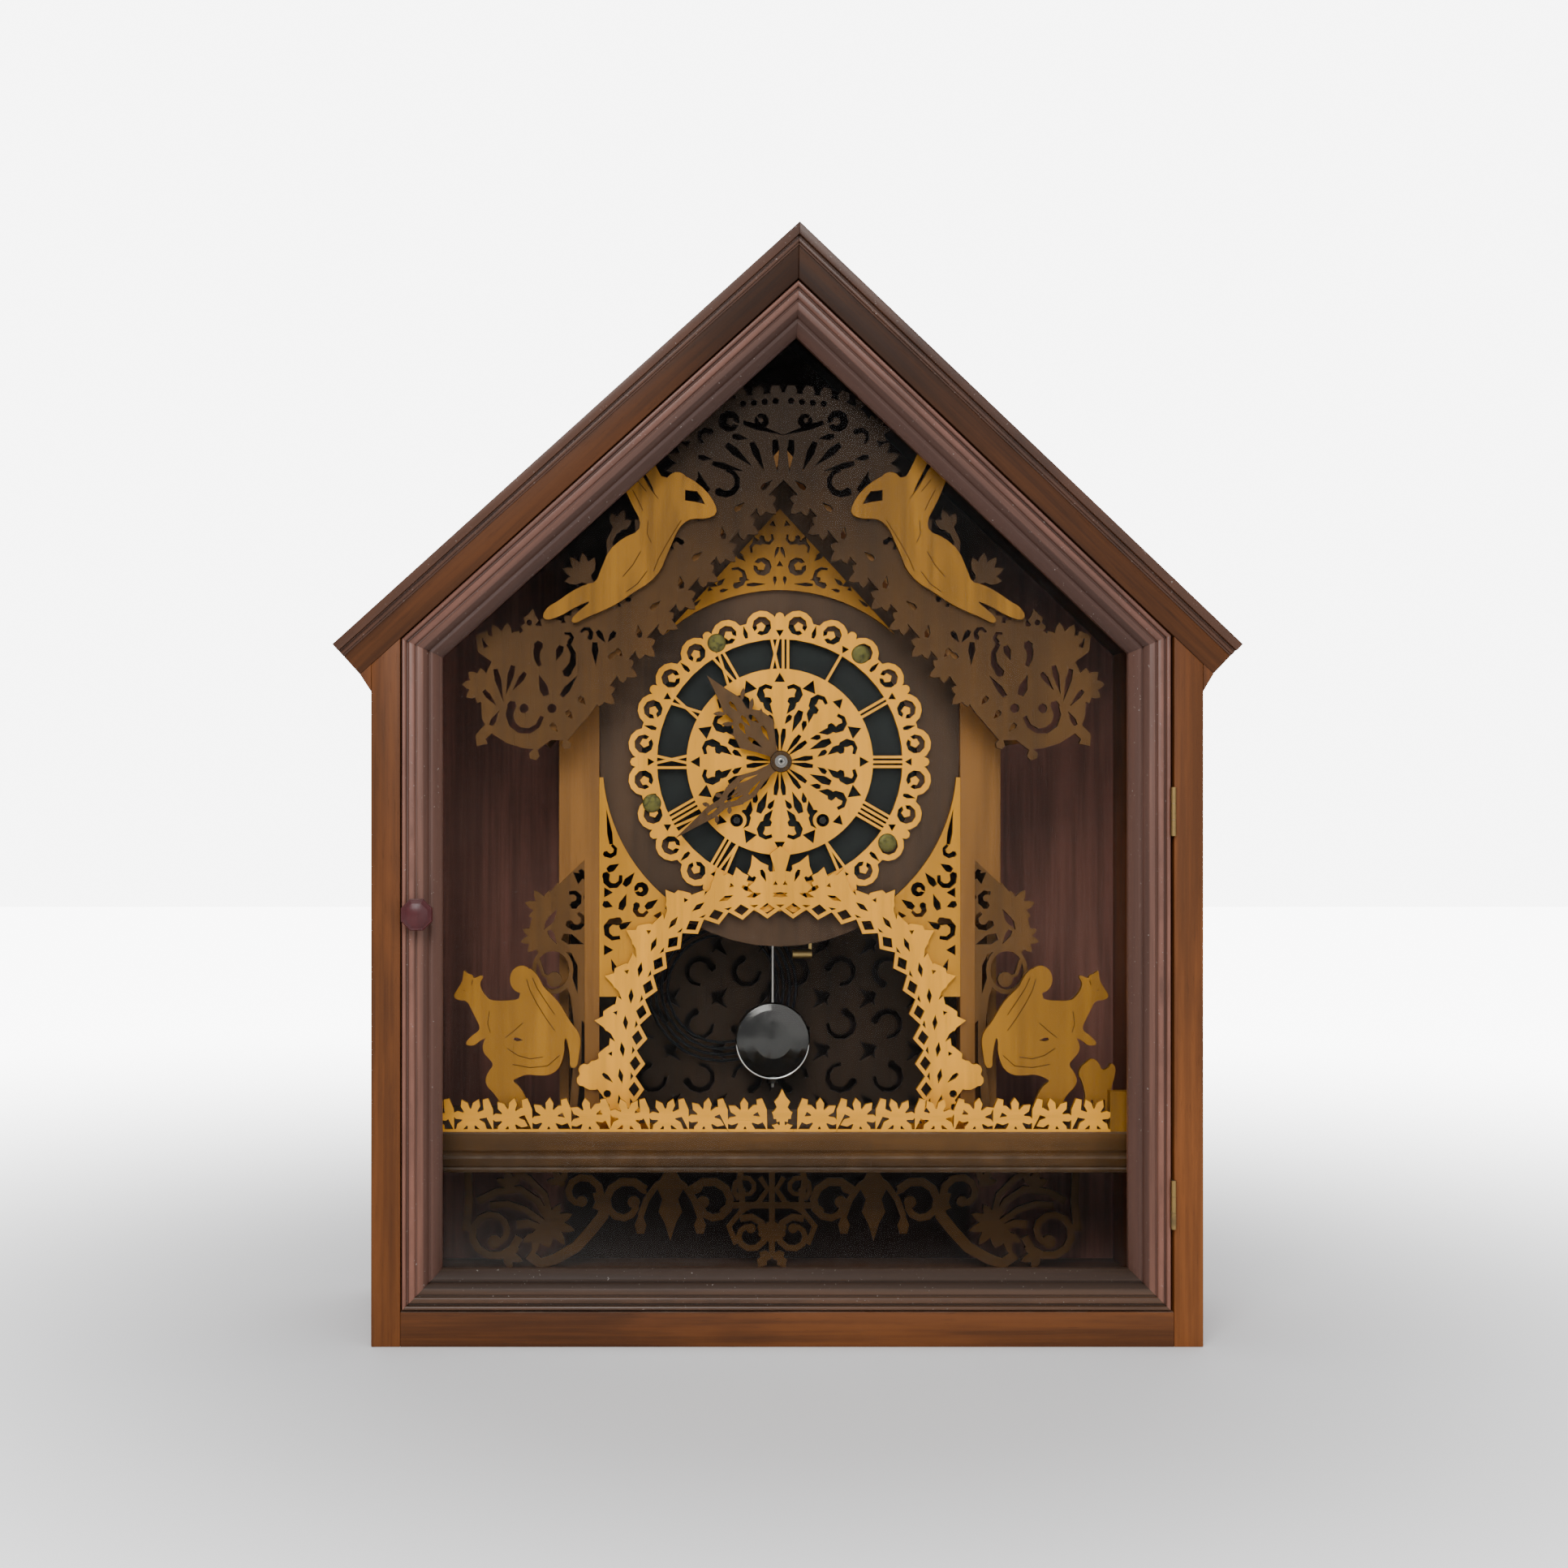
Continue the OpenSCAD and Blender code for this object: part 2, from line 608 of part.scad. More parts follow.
// The pierced apron that stands on the case's floor under the shelf
module pelmet_half() {
  top = shelf_z - shelf_t - bottom_t;
  translate([0, 66]) square([208, top - 66]);
  // corner: a bold stroke, a wound scroll, leaves and sweeping strands
  ribbon([[112, 46], [114, 36], [122, 26], [132, 15], [146, 7], [156, 4], [164, 10]], 8, 7);
  translate([128.4, 51]) rotate(227) mirror([0, 1]) scroll(14.6, 5.5, 320);
  translate([150, 31]) rotate(215) spray(6, 18, 190, 7);
  translate([188, 25]) rotate(190) scroll(18, 5.5, 430);
  ribbon([[205, 67], [204, 46], [206, 26]], 5, 5.5);
  ribbon([[151, 34], [158, 46], [170, 54], [186, 52], [198, 46]], 4.5, 5);
  ribbon([[150, 38], [153, 50], [164, 61], [176, 68]], 4, 4.5);
  ribbon([[152, 30], [166, 40], [178, 44], [190, 43]], 4, 4.5);
  ribbon([[156, 28], [164, 31], [172, 30]], 4.5, 6);
  translate([176, 56]) rotate(75) spray(3, 13, 100, 6);
  translate([142, 58]) rotate(60) spray(3, 12, 100, 5);
  translate([158, 24]) rotate(-80) spray(3, 14, 100, 6);
  translate([180, 10]) rotate(200) spray(3, 13, 90, 6);
  // an open scroll on either side of each drop
  translate([99, 44.5]) rotate(147) mirror([0, 1]) scroll(16.5, 6, 335);
  translate([40.5, 44.5]) rotate(33) scroll(16.5, 6, 335);
  translate([68.5, 66]) rotate(-90) leaf(47, 19);
  for (s = [-1, 1]) {
    ribbon([[68.5, 62], [68.5 + 9 * s, 57], [68.5 + 16 * s, 47], [68.5 + 20 * s, 36]], 4, 4.4);
    translate([68.5 + 20 * s, 40]) rotate(-90) tear(17, 8);
    translate([68.5 + 15 * s, 50]) rotate(90 - 45 * s) tear(9, 5);
  }
  ribbon([[112, 44], [116, 46], [118, 52]], 8, 6);
  // half of the pendant
  translate([0, 41]) square([27, 4.4]);
  translate([0, 8]) square([2, 60]);
  translate([15, 23]) rotate(60) scroll(13, 4.8, 400);
  ribbon([[8, 62], [3, 54], [9, 45], [20, 40], [29, 29], [24, 17]], 3.6, 4);
  translate([17.5, 55]) rotate(-60) scroll(9, 3.8, 380);
  ribbon([[20, 38], [20, 47], [22, 60], [20, 70]], 4, 4);
  translate([3, 12]) rotate(-62) leaf(14, 9);
  translate([7, 24]) rotate(150) spray(4, 11, 130, 5);
  translate([27, 42.5]) rotate(-20) blade(9, 5);
}
module pelmet() {
  color(deep_maple) sawn(pelmet_y) intersection() {
    translate([-inner_x, bottom_t]) square([2 * inner_x, shelf_z - shelf_t - bottom_t]);
    translate([0, bottom_t]) both_halves() pelmet_half();
  }
}

// The small house
function house_roof_z(x) = roof_low - x * tan(rake);

// The slanting underside of each post's broad upper part
function corbel_z(x) = shelf_z + corbel_h - (x - post_in) * 25 / 26;

// Posts that are narrow below and broad above the brackets
module posts() {
  x = post_in + post_strip;
  color(post_wood) both_sides() upright(panel_y, post_d) polygon([
    [post_in, shelf_z], [x, shelf_z], [x, corbel_z(x)], [post_out, corbel_z(post_out)],
    [post_out, house_roof_z(post_out)], [post_in, house_roof_z(post_in)]]);
}
module house_sides() {
  y = panel_y + post_d;
  x = post_out - house_t;
  color(post_wood) both_sides() upright(y, back_fret_y - y)
    polygon([[x, shelf_z], [post_out, shelf_z],
      [post_out, house_roof_z(post_out)], [x, house_roof_z(x)]]);
}
// Two boards that meet at the ridge
module house_roof() {
  up = house_t / cos(rake);
  depth = back_fret_y + fret_t - porch_y;
  x = ridge_joint / 2;
  color(post_wood) both_sides() upright(porch_y, depth) polygon([
    [x, house_roof_z(x)], [house_eave, house_roof_z(house_eave)],
    [house_eave + house_t * sin(rake), house_roof_z(house_eave) + house_t * cos(rake)],
    [x, house_roof_z(x) + up]]);
}
// The board that carries the dial: a gable above, a half circle below
module face_board() {
  color(dark_wood) difference() {
    upright(face_y, face_t) union() {
      polygon(concat(
        [[post_in, dial_z], [post_in, house_roof_z(post_in)], [0, roof_low],
          [-post_in, house_roof_z(post_in)], [-post_in, dial_z]],
        [for (i = [0:24]) let (a = 180 + 180 * i / 24)
          [post_in * cos(a), dial_z + face_bottom_r * sin(a)]]));
    }
    along_y(face_y - 1, face_y + recess_d, dial_r - 9, 0, dial_z);
    along_y(face_y, works_y + 1, arbor_d / 2 + 3, 0, dial_z);
    for (s = [-1, 1]) along_y(face_y, works_y + 1, wind_d / 2 + 1, s * wind_x, wind_z);
  }
}
module dial_plate() {
  y = face_y + recess_d - plate_back_t;
  color("#2a2c2c") difference() {
    along_y(y, y + plate_back_t, dial_r - 9.3, 0, dial_z);
    along_y(y - 1, y + 2, arbor_d / 2 + 3, 0, dial_z);
    for (s = [-1, 1]) along_y(y - 1, y + 2, wind_d / 2 + 1, s * wind_x, wind_z);
  }
}

// The pierced back, seen through the arch
module back_fret() {
  low = shelf_z;
  half = post_out;
  color(dark_wood) sawn(back_fret_y) difference() {
    polygon([[-half, low], [half, low], [half, house_roof_z(half)], [0, roof_low],
      [-half, house_roof_z(half)]]);
    both_halves() offset(delta = cut_grow)
      for (row = [0:2], col = [0:2]) translate([16 + 32 * col, low + 22 + 36 * row]) {
        rotate(90 * (row + col)) hook(9, 4, 250);
        translate([14, 12]) rotate(45) tear(14, 5);
        translate([14, -12]) rotate(-45) tear(12, 5);
        translate([-9, 14]) rotate(120) tear(10, 4);
      }
    for (i = [0:3]) translate([0, low + 12 + 30 * i]) rotate(90) tear(16, 5);
  }
}

// Half of the pierced gable: a leafy band up the rake with scrolls along its outer side
module gable_fret_half() {
  translate([0, dial_z]) difference() {
    union() {
      polygon([[0, 177], [14, 163], [34, 139], [54, 116], [76, 91], [98, 66], [114, 44], [124, 30],
        [139, 13], [150, 13], [158, 7], [168, 8], [178, 11], [189, 18], [194, 26], [195, 40],
        [193, 52], [186, 66], [176, 76], [164, 84], [148, 86], [132, 88], [122, 94], [114, 104],
        [104, 112], [92, 122], [78, 138], [66, 152], [54, 164], [47, 171], [56, 184], [60, 196],
        [58, 210], [52, 220], [40, 226], [24, 230], [0, 232]]);
      // lobed leaves along the lower edge
      for (i = [0:8]) translate([13 + 13 * i, 163 - 15 * i])
        rotate(222 - 16 * (i % 2)) spray(3, 11, 120, 6.5);
      translate([159, 9]) rotate(-75) tear(9, 7);
      translate([141, 15]) rotate(-105) tear(8, 6);
      ribbon([[190, 20], [195, 15], [194, 10]], 7, 7);
      // leaf fans and curls at the eave
      translate([193, 47]) rotate(5) spray(5, 14, 150, 7.5);
      translate([179, 70]) rotate(62) spray(5, 18, 130, 8);
      translate([164, 80]) rotate(100) leaf(16, 12);
      translate([150, 84]) rotate(95) spray(3, 10, 110, 6);
      translate([134, 86]) rotate(90) spray(3, 11, 110, 6);
      ribbon([[186, 64], [195, 70], [196, 78], [190, 80]], 5, 4);
      // sprigs that grow from the band
      ribbon([[114, 98], [122, 110], [128, 116]], 5, 4);
      translate([127, 115]) rotate(52) spray(5, 17, 120, 6.5);
      ribbon([[100, 112], [111, 124], [112, 138], [106, 150]], 4.5, 4);
      translate([107, 146]) rotate(110) spray(3, 13, 80, 6);
      ribbon([[84, 130], [93, 142], [94, 152]], 4.5, 3.5);
      // crest
      translate([57, 187]) rotate(2) spray(6, 19, 160, 7.5);
      translate([57, 207]) rotate(30) spray(4, 13, 120, 6);
      for (i = [0:4]) translate([5 + 10.5 * i, 226 - 0.35 * i * i]) rotate(90 - 7 * i) tear(11, 8);
    }
    // marks along the band
    offset(delta = cut_grow) {
      for (i = [0:6]) translate([26 + 13.5 * i, 162 - 15.5 * i]) rotate(i % 2 == 0 ? -40 : -100) tear(7, 3);
      for (i = [0:3]) translate([52 + 17 * i, 154 - 18 * i]) rotate(-48) hook(3.6, 2.4, 200);
      // cuts of the eave's scrolls
      translate([166, 29]) rotate(-172) hook(10.5, 4.4, 205);
      translate([167, 33]) circle(2.6, $fn = 8);
      translate([157, 53]) rotate(-110) tear(13, 5);
      translate([149, 33]) circle(2.6, $fn = 8);
      translate([134, 52]) rotate(-52) tear(15, 3.4);
      translate([147, 67]) rotate(-35) hook(12, 4.4, 62);
      translate([147, 65]) rotate(135) hook(12, 4.2, 95);
      translate([146, 64]) rotate(110) tear(9, 4);
      translate([121, 62]) rotate(88) tear(13, 3.8);
      translate([115.4, 75.4]) rotate(56) tear(8, 3);
      translate([112.4, 75.6]) rotate(125) tear(7, 3);
      translate([127, 80]) rotate(20) hook(3.4, 2.2, 200);
      translate([139, 77.5]) rotate(60) hook(3, 2, 180);
      translate([181, 40]) rotate(76) tear(19, 3.2);
      translate([178, 44]) rotate(104) tear(17, 3.4);
      translate([173, 46]) rotate(126) tear(12, 3);
      translate([186, 36]) rotate(50) tear(11, 2.6);
      translate([163.6, 87]) circle(1.5, $fn = 7);
      translate([184, 30]) rotate(-60) tear(9, 2.8);
      for (q = [[128, 36], [136, 27], [146, 19], [104, 66]]) translate(q) rotate(50) tear(5.5, 3);
      // cuts of the crest
      for (i = [0:3]) translate([5 + 7 * i, 226.6 - 0.6 * i]) circle(1.7, $fn = 7);
      translate([35, 214]) rotate(200) eye(6.6);
      translate([50, 204]) rotate(-60) hook(4.4, 2.8, 190);
      translate([37, 175.5]) rotate(95) hook(7.6, 4, 210);
      translate([3, 206]) rotate(17) tear(25, 3.2);
      translate([4, 184]) rotate(86) tear(19, 4);
      translate([13, 184]) rotate(66) tear(19, 4.2);
      translate([22, 187]) rotate(40) tear(20, 4.4);
      translate([28, 183]) rotate(14) tear(19, 3.4);
      translate([14, 214]) rotate(40) eye(4.4);
      translate([47, 190]) rotate(10) tear(8, 3);
      translate([24, 203]) rotate(10) tear(9, 3.4);
      translate([8, 176]) rotate(-38) tear(8, 3);
    }
    translate([-20, 160]) square([20, 90]);
  }
}
module gable_fret_left() {
  color(deep_maple) sawn(gable_y) scale([-gable_spread, 1]) gable_fret_half();
}
module gable_fret_right() {
  color(deep_maple) sawn(gable_y) scale([gable_spread, 1]) gable_fret_half();
}

// Leafy brackets on the posts
module bracket() {
  x = post_in;
  translate([0, shelf_z]) difference() {
    union() {
      polygon([[x + 1, 182], [x + 27, 157], [x + 36, 146], [x + 43, 136], [x + 46, 124],
        [x + 42, 114], [x + 32, 115], [x + 18, 112], [x + 14, 104], [x + 14, 72], [x + 9, 66],
        [x + 1, 110]]);
      translate([x + 34, 140]) rotate(38) spray(4, 15, 120, 6.5);
      translate([x + 38, 122]) rotate(-12) spray(5, 13, 150, 6);
      translate([x + 30, 101]) scale([0.86, 1]) circle(15.5, $fn = 20);
      ribbon([[x + 20, 96], [x + 16, 84], [x + 14, 68], [x + 14, 44], [x + 16, 20], [x + 18, 0]], 5, 5);
      translate([x + 2, 0]) square([26, 3]);
    }
    offset(delta = cut_grow) {
      translate([x + 30, 101]) difference() {
        scale([0.86, 1]) circle(12, $fn = 16);
        translate([-1, -6]) circle(5.4, $fn = 10);
        ribbon([[-1, -6], [6, -3], [9, 6], [12, 8]], 3, 3.4);
      }
      translate([x + 13, 161]) rotate(38) triangle(4);
      translate([x + 8, 158]) rotate(60) tear(9, 3);
      translate([x + 8, 148]) circle(2, $fn = 7);
      translate([x + 17, 147]) rotate(60) hook(4.2, 3.6, 200);
      translate([x + 15, 133]) rotate(110) hook(4.8, 3.6, 220);
      translate([x + 28, 139]) rotate(-60) tear(10, 3.6);
      translate([x + 11, 118]) rotate(20) tear(14, 6);
      translate([x + 28, 119]) rotate(60) tear(9, 3);
      translate([x + 35, 128]) rotate(120) tear(7, 3);
    }
  }
}
module brackets() {
  x = post_in + post_strip;
  color(deep_maple) both_sides() sawn(panel_y) intersection() {
    polygon([[x, shelf_z], [200, shelf_z], [200, shelf_z + corbel_h], [post_out, shelf_z + corbel_h],
      [post_out, corbel_z(post_out)], [x, corbel_z(x)]]);
    bracket();
  }
}

// The pierced triangle over the dial
module upper_spandrel() {
  r = halo_r - 1.5;
  foot = [73.8, sqrt(r * r - 73.8 * 73.8)];
  top = foot.y + foot.x * tan(rake - 2.5);
  color(maple) sawn(panel_y) translate([0, dial_z]) difference() {
    polygon([[-foot.x, foot.y], [foot.x, foot.y], [0, top]]);
    circle(r, $fn = 90);
    translate([0, 127]) rotate(90) triangle(2.4);
    both_halves() {
      translate([11.2, 125.5]) rotate(20) eye(6);
      translate([14.5, 137]) rotate(-35) hook(4.4, 3, 150);
      translate([28, 119]) rotate(60) hook(5.6, 3.6, 210);
      translate([22, 129]) rotate(40) tear(8, 3.6);
      translate([19.5, 117]) rotate(5) tear(7, 3.4);
      translate([8, 144]) rotate(140) hook(3.6, 3, 220);
      translate([3.5, 131]) rotate(110) tear(8, 2.4);
      translate([16, 143]) rotate(-50) triangle(2.4);
      translate([25.6, 133]) rotate(-50) triangle(2.4);
      translate([40, 113]) rotate(20) tear(7, 4.6);
      translate([35, 118]) rotate(-40) tear(7, 3);
      translate([33, 111]) rotate(-14) tear(6, 2.4);
      translate([9, 114.4]) rotate(-3) tear(13, 2.6);
      translate([3.2, 113.6]) rotate(90) tear(6, 2.4);
      translate([4.6, 153]) rotate(100) triangle(2.4);
      translate([50.5, 104.5]) rotate(-38) tear(8, 2.4);
      translate([45, 111]) rotate(-46) triangle(2);
    }
  }
}

// The pierced corners under the dial
module lower_spandrel() {
  x = post_in;
  low = 84 - dial_up;
  difference() {
    translate([40, low]) square([x - 40, -10 - low]);
    circle(halo_r + 2, $fn = 90);
    translate([0, -dial_up]) polygon(arch_path(13, 2));
    offset(delta = cut_grow) {
      translate([x - 5, -34]) rotate(-98) tear(20, 2.6);
      translate([x - 7, -57]) rotate(110) hook(3.6, 2.6, 210);
      translate([x - 12, -66]) rotate(-30) tear(8, 4);
      translate([x - 9, -75]) rotate(160) hook(5, 3.6, 220);
      translate([x - 22, -72]) rotate(-52) tear(10, 4);
      translate([x - 27, -82]) rotate(-20) eye(4.4);
      translate([x - 5, -84]) rotate(60) triangle(3);
      translate([x - 17, -86]) rotate(-70) tear(10, 4);
      translate([x - 8, -93]) rotate(20) tear(6, 4);
      translate([x - 37, -89]) rotate(-35) tear(9, 4);
      translate([x - 27, -95]) rotate(-160) hook(4, 3, 200);
      translate([x - 10, -108]) rotate(-120) hook(5.8, 4, 230);
      translate([x - 45, -95]) rotate(20) triangle(2.4);
      translate([x - 20, -103]) rotate(-30) tear(8, 3.6);
      translate([x - 5, -121]) rotate(60) triangle(3.2);
      translate([x - 38, -99]) rotate(0) triangle(2.6);
      translate([x - 8, -128]) rotate(-110) tear(9, 3);
    }
  }
}
module lower_spandrels() {
  color(maple) both_sides() sawn(panel_y) translate([0, dial_z]) lower_spandrel();
}

// The arch follows a rounded curve through its row of lozenges, which are set out evenly along it
arch_power = 3;
arch_steps = 72;
lozenge = 6.4;
arch_a = arch_half + lozenge;
arch_b = arch_h + lozenge;
function arch_curve(a) = [
  -arch_a * sign(cos(a)) * pow(abs(cos(a)), 2 / arch_power), arch_b * pow(abs(sin(a)), 2 / arch_power)];
arch_line = [for (i = [0:arch_steps]) arch_curve(180 * i / arch_steps)];
arch_run = [for (i = 0, s = 0; i <= arch_steps;
  s = s + (i < arch_steps ? norm(arch_line[i + 1] - arch_line[i]) : 0), i = i + 1) s];
arch_x_table = [for (i = [0:arch_steps]) [arch_run[i], arch_line[i].x]];
arch_z_table = [for (i = [0:arch_steps]) [arch_run[i], arch_line[i].y]];
function arch_at(s) = [lookup(s, arch_x_table), lookup(s, arch_z_table)];
function arch_out(s) = let (t = unit(arch_at(s + 1.5) - arch_at(s - 1.5))) [-t.y, t.x];
function arch_angle(s) = atan2(arch_out(s).y, arch_out(s).x);
arch_length = arch_run[arch_steps];
arch_pitch = arch_length / arch_cells;
// Points a set distance outside the curve, n of them to each lozenge
function arch_path(d, n) = [for (i = [0:n * arch_cells])
  let (s = max(2, min(arch_length - 2, i * arch_pitch / n))) arch_at(s) + d * arch_out(s)];

module at_arch(i) {
  s = (i + 0.5) * arch_pitch;
  translate(arch_at(s)) rotate(arch_angle(s)) children();
}
module diamond(w, h) {
  polygon([[-w, 0], [0, -h], [w, 0], [0, h]]);
}
// One leaf of the arch's outer side, its tip outwards and up the curve
module arch_leaf() {
  polygon([[10, 12], [18, 12], [21.5, 9], [24, 6.5], [23.5, 3.5], [28.7, 0], [22, -3.6],
    [17, -9.5], [10, -11]]);
}
// Half of the arch's outer side: leaves, the pierced tuft at its foot, and the crown
module arch_border() {
  leaves = arch_cells / 3;
  for (i = [1:leaves - 1]) at_arch(1.5 * i + 0.4) mirror([0, 1]) arch_leaf();
  translate([-arch_a - 26.5, 33]) {
    circle(8.6, $fn = 14);
    for (a = [20, 80, 140, 200]) rotate(a) translate([6.6, 0]) circle(4, $fn = 9);
  }
  polygon([[-arch_a - 10, 42], [-arch_a - 26, 38], [-arch_a - 24, 26], [-arch_a - 18, 18],
    [-arch_a - 26, 3], [-arch_a - 26, 0], [-arch_a - 8, 0]]);
  // crown
  polygon([
    [0, arch_b + 10], [-4.6, arch_b + 10], [-3.4, arch_b + 24], [-6.5, arch_b + 35], [0, arch_b + 40]]);
  translate([-9, arch_b + 12]) rotate(112) leaf(24, 17);
  translate([-24, arch_b + 10]) rotate(104) leaf(17, 15);
}
module arch_cuts() {
  leaves = arch_cells / 3;
  for (i = [0:arch_cells / 2 - 1]) {
    at_arch(i) diamond(3.6, 4.9);
    at_arch(i + 0.5) translate([8.8, 0]) rotate(12) diamond(1.7, 5);
  }
  for (i = [1:leaves - 1]) at_arch(1.5 * i + 0.4) mirror([0, 1]) {
    translate([13.4, -11.4]) rotate(38) tear(9.5, 3);
    translate([16, 7]) triangle(1.8);
  }
  translate([-arch_a - 17, 22]) circle(2.6, $fn = 7);
  translate([-arch_a - 18, 9]) rotate(80) tear(7, 3.6);
  translate([-9, arch_b + 17]) rotate(112) tear(9, 3);
  translate([-17, arch_b + 10]) rotate(150) tear(9, 3);
}
module arch_fret() {
  color(maple) sawn(arch_y) translate([0, shelf_z]) intersection() {
    translate([-post_in - 20, 0]) square([2 * post_in + 40, arch_b + 60]);
    difference() {
      union() {
        ribbon(arch_path(10, 2), 15, 15);
        both_halves() {
          for (i = [0:arch_cells / 2 - 1]) at_arch(i) diamond(lozenge, arch_pitch / 2 + 0.8);
          arch_border();
          translate([-arch_a - 20, 0]) square([32, 3]);
        }
      }
      both_halves() arch_cuts();
    }
  }
}

// Roman numerals made of bars that tie the two rings together
bar_w = 1.7;
function glyph_w(c) = c == "I" ? 3.1 : 7.4;
function word_w(word, n) = n == 0 ? 0 : glyph_w(word[n - 1]) + word_w(word, n - 1);
module glyph(c, h) {
  lean = 2.4;
  if (c == "I") square([bar_w, h], center = true);
  if (c == "V") for (s = [-1, 1])
    ribbon([[s * lean, h / 2], [0, -h / 2]], bar_w, bar_w);
  if (c == "X") for (s = [-1, 1])
    ribbon([[s * lean, h / 2], [-s * lean, -h / 2]], bar_w, bar_w);
}
module numeral(word, h) {
  total = word_w(word, len(word));
  for (i = [0:len(word) - 1])
    translate([word_w(word, i) + glyph_w(word[i]) / 2 - total / 2, 0]) glyph(word[i], h);
}

// Cuts of the rosette, which spare a collar round each winding hole
module rosette_cuts() {
  difference() {
    offset(delta = cut_grow) for (i = [0:7]) rotate(45 * i + 90) {
      translate([chapter_in - 6.6, 0]) triangle(3.2);
      rotate(22.5) translate([chapter_in - 8.4, 0]) triangle(4.4);
      rotate(22.5) translate([22, 0]) tear(14, 4.6);
      for (s = [-1, 1]) {
        rotate(7.5 * s) translate([8.5, 0]) tear(13.5, 2.6);
        translate([chapter_in - 16, 8.4 * s]) mirror([0, s > 0 ? 0 : 1]) rotate(-40) hook(4.8, 3.6, 230);
        translate([31.5, 5 * s]) rotate(36 * s) tear(8, 3.6);
        translate([25, 3.8 * s]) rotate(34 * s) tear(6, 2.8);
        rotate(15.2 * s) translate([39, 0]) rotate(-4 * s) tear(9, 2.8);
      }
    }
    for (s = [-1, 1]) translate([s * wind_x, -wind_down]) circle(6.4, $fn = 16);
  }
}

// The pierced dial: a ring of scrolls, the numerals, and a rosette of eight leaves
module dial_fret() {
  lobes = 24;
  mid_r = dial_r - 10.4;
  chapter_mid = (chapter_out + chapter_in) / 2;
  color(maple) sawn(panel_y) translate([0, dial_z]) difference() {
    union() {
      difference() {
        union() {
          circle(mid_r + 3.6, $fn = 48);
          for (i = [0:lobes - 1]) rotate(360 * (i + 0.5) / lobes)
            translate([mid_r, 0]) circle(10.4, $fn = 14);
          for (i = [0:lobes / 2 - 1]) rotate(720 * i / lobes)
            translate([mid_r + 5.6, 0]) circle(3, $fn = 8);
        }
        circle(chapter_out, $fn = 48);
        for (i = [0:lobes - 1]) rotate(360 * (i + 0.5) / lobes) mirror([0, i % 2])
          translate([mid_r + 0.6, 0]) rotate(130) eye(6.2);
        for (i = [0:lobes / 2 - 1]) {
          rotate(720 * i / lobes) translate([mid_r - 4.2, 0]) rotate(180) triangle(2.9);
          rotate(720 * (i + 0.5) / lobes) translate([mid_r + 3, 0]) rotate(180) tear(9, 3);
        }
      }
      for (i = [0:11]) rotate(-30 * i) translate([0, chapter_mid])
        numeral(numerals[i], chapter_out - chapter_in + 2);
      circle(chapter_in, $fn = 60);
    }
    rosette_cuts();
    circle(arbor_d / 2 + 2.2, $fn = 16);
    for (s = [-1, 1]) translate([s * wind_x, -wind_down]) circle(4.2, $fn = 16);
    for (a = pin_angles) translate(pin_at(a)) circle(1.25, $fn = 10);
  }
}
pin_angles = [-28, 37, 127, 252];
function pin_at(a) = 86.5 * [sin(a), cos(a)];
// Small brass pins that hold the dial
module dial_pins() {
  color(brass) for (a = pin_angles) {
    along_y(panel_y, face_y, 1, pin_at(a).x, dial_z + pin_at(a).y);
    along_y(panel_y - 1.4, panel_y, 3.4, pin_at(a).x, dial_z + pin_at(a).y);
  }
}

// A winged figure in a long robe flying up the rake, drawn from the dial's centre
flyer_outline = [
  [152, 91], [148, 97], [142, 100], [134, 106], [124, 111], [118, 112], [115, 120], [110, 132],
  [101, 140], [91, 144], [90, 151], [95, 160], [100, 171], [104, 182], [105, 190], [99, 190],
  [93, 186], [86, 175], [81, 167], [83, 173], [89, 184], [94, 196], [92, 202], [85, 195],
  [80, 184], [76, 177], [66, 180], [58, 177], [49, 170], [43, 161], [42, 155], [48, 152],
  [58, 152], [62, 150], [66, 146], [70, 137], [74, 128], [77, 120], [84, 112], [94, 106],
  [104, 99], [114, 94], [124, 90], [131, 86], [134, 88], [130, 93], [120, 101], [130, 97],
  [140, 91], [149, 88]
];
module flyer_shape() {
  translate([0, dial_z]) difference() {
    union() {
      polygon(rounded(flyer_outline));
      translate([67, 173]) scale([1, 1.12]) circle(7.4, $fn = 18);
    }
    polygon([[62, 170], [54.5, 169.2], [51.5, 165], [49.5, 161], [56, 162.6], [62, 163.4]]);
  }
}
module flyer_left() {
  color(maple) sawn(figure_y) mirror([1, 0]) flyer_shape();
}
module flyer_right() {
  color(maple) sawn(figure_y) flyer_shape();
}

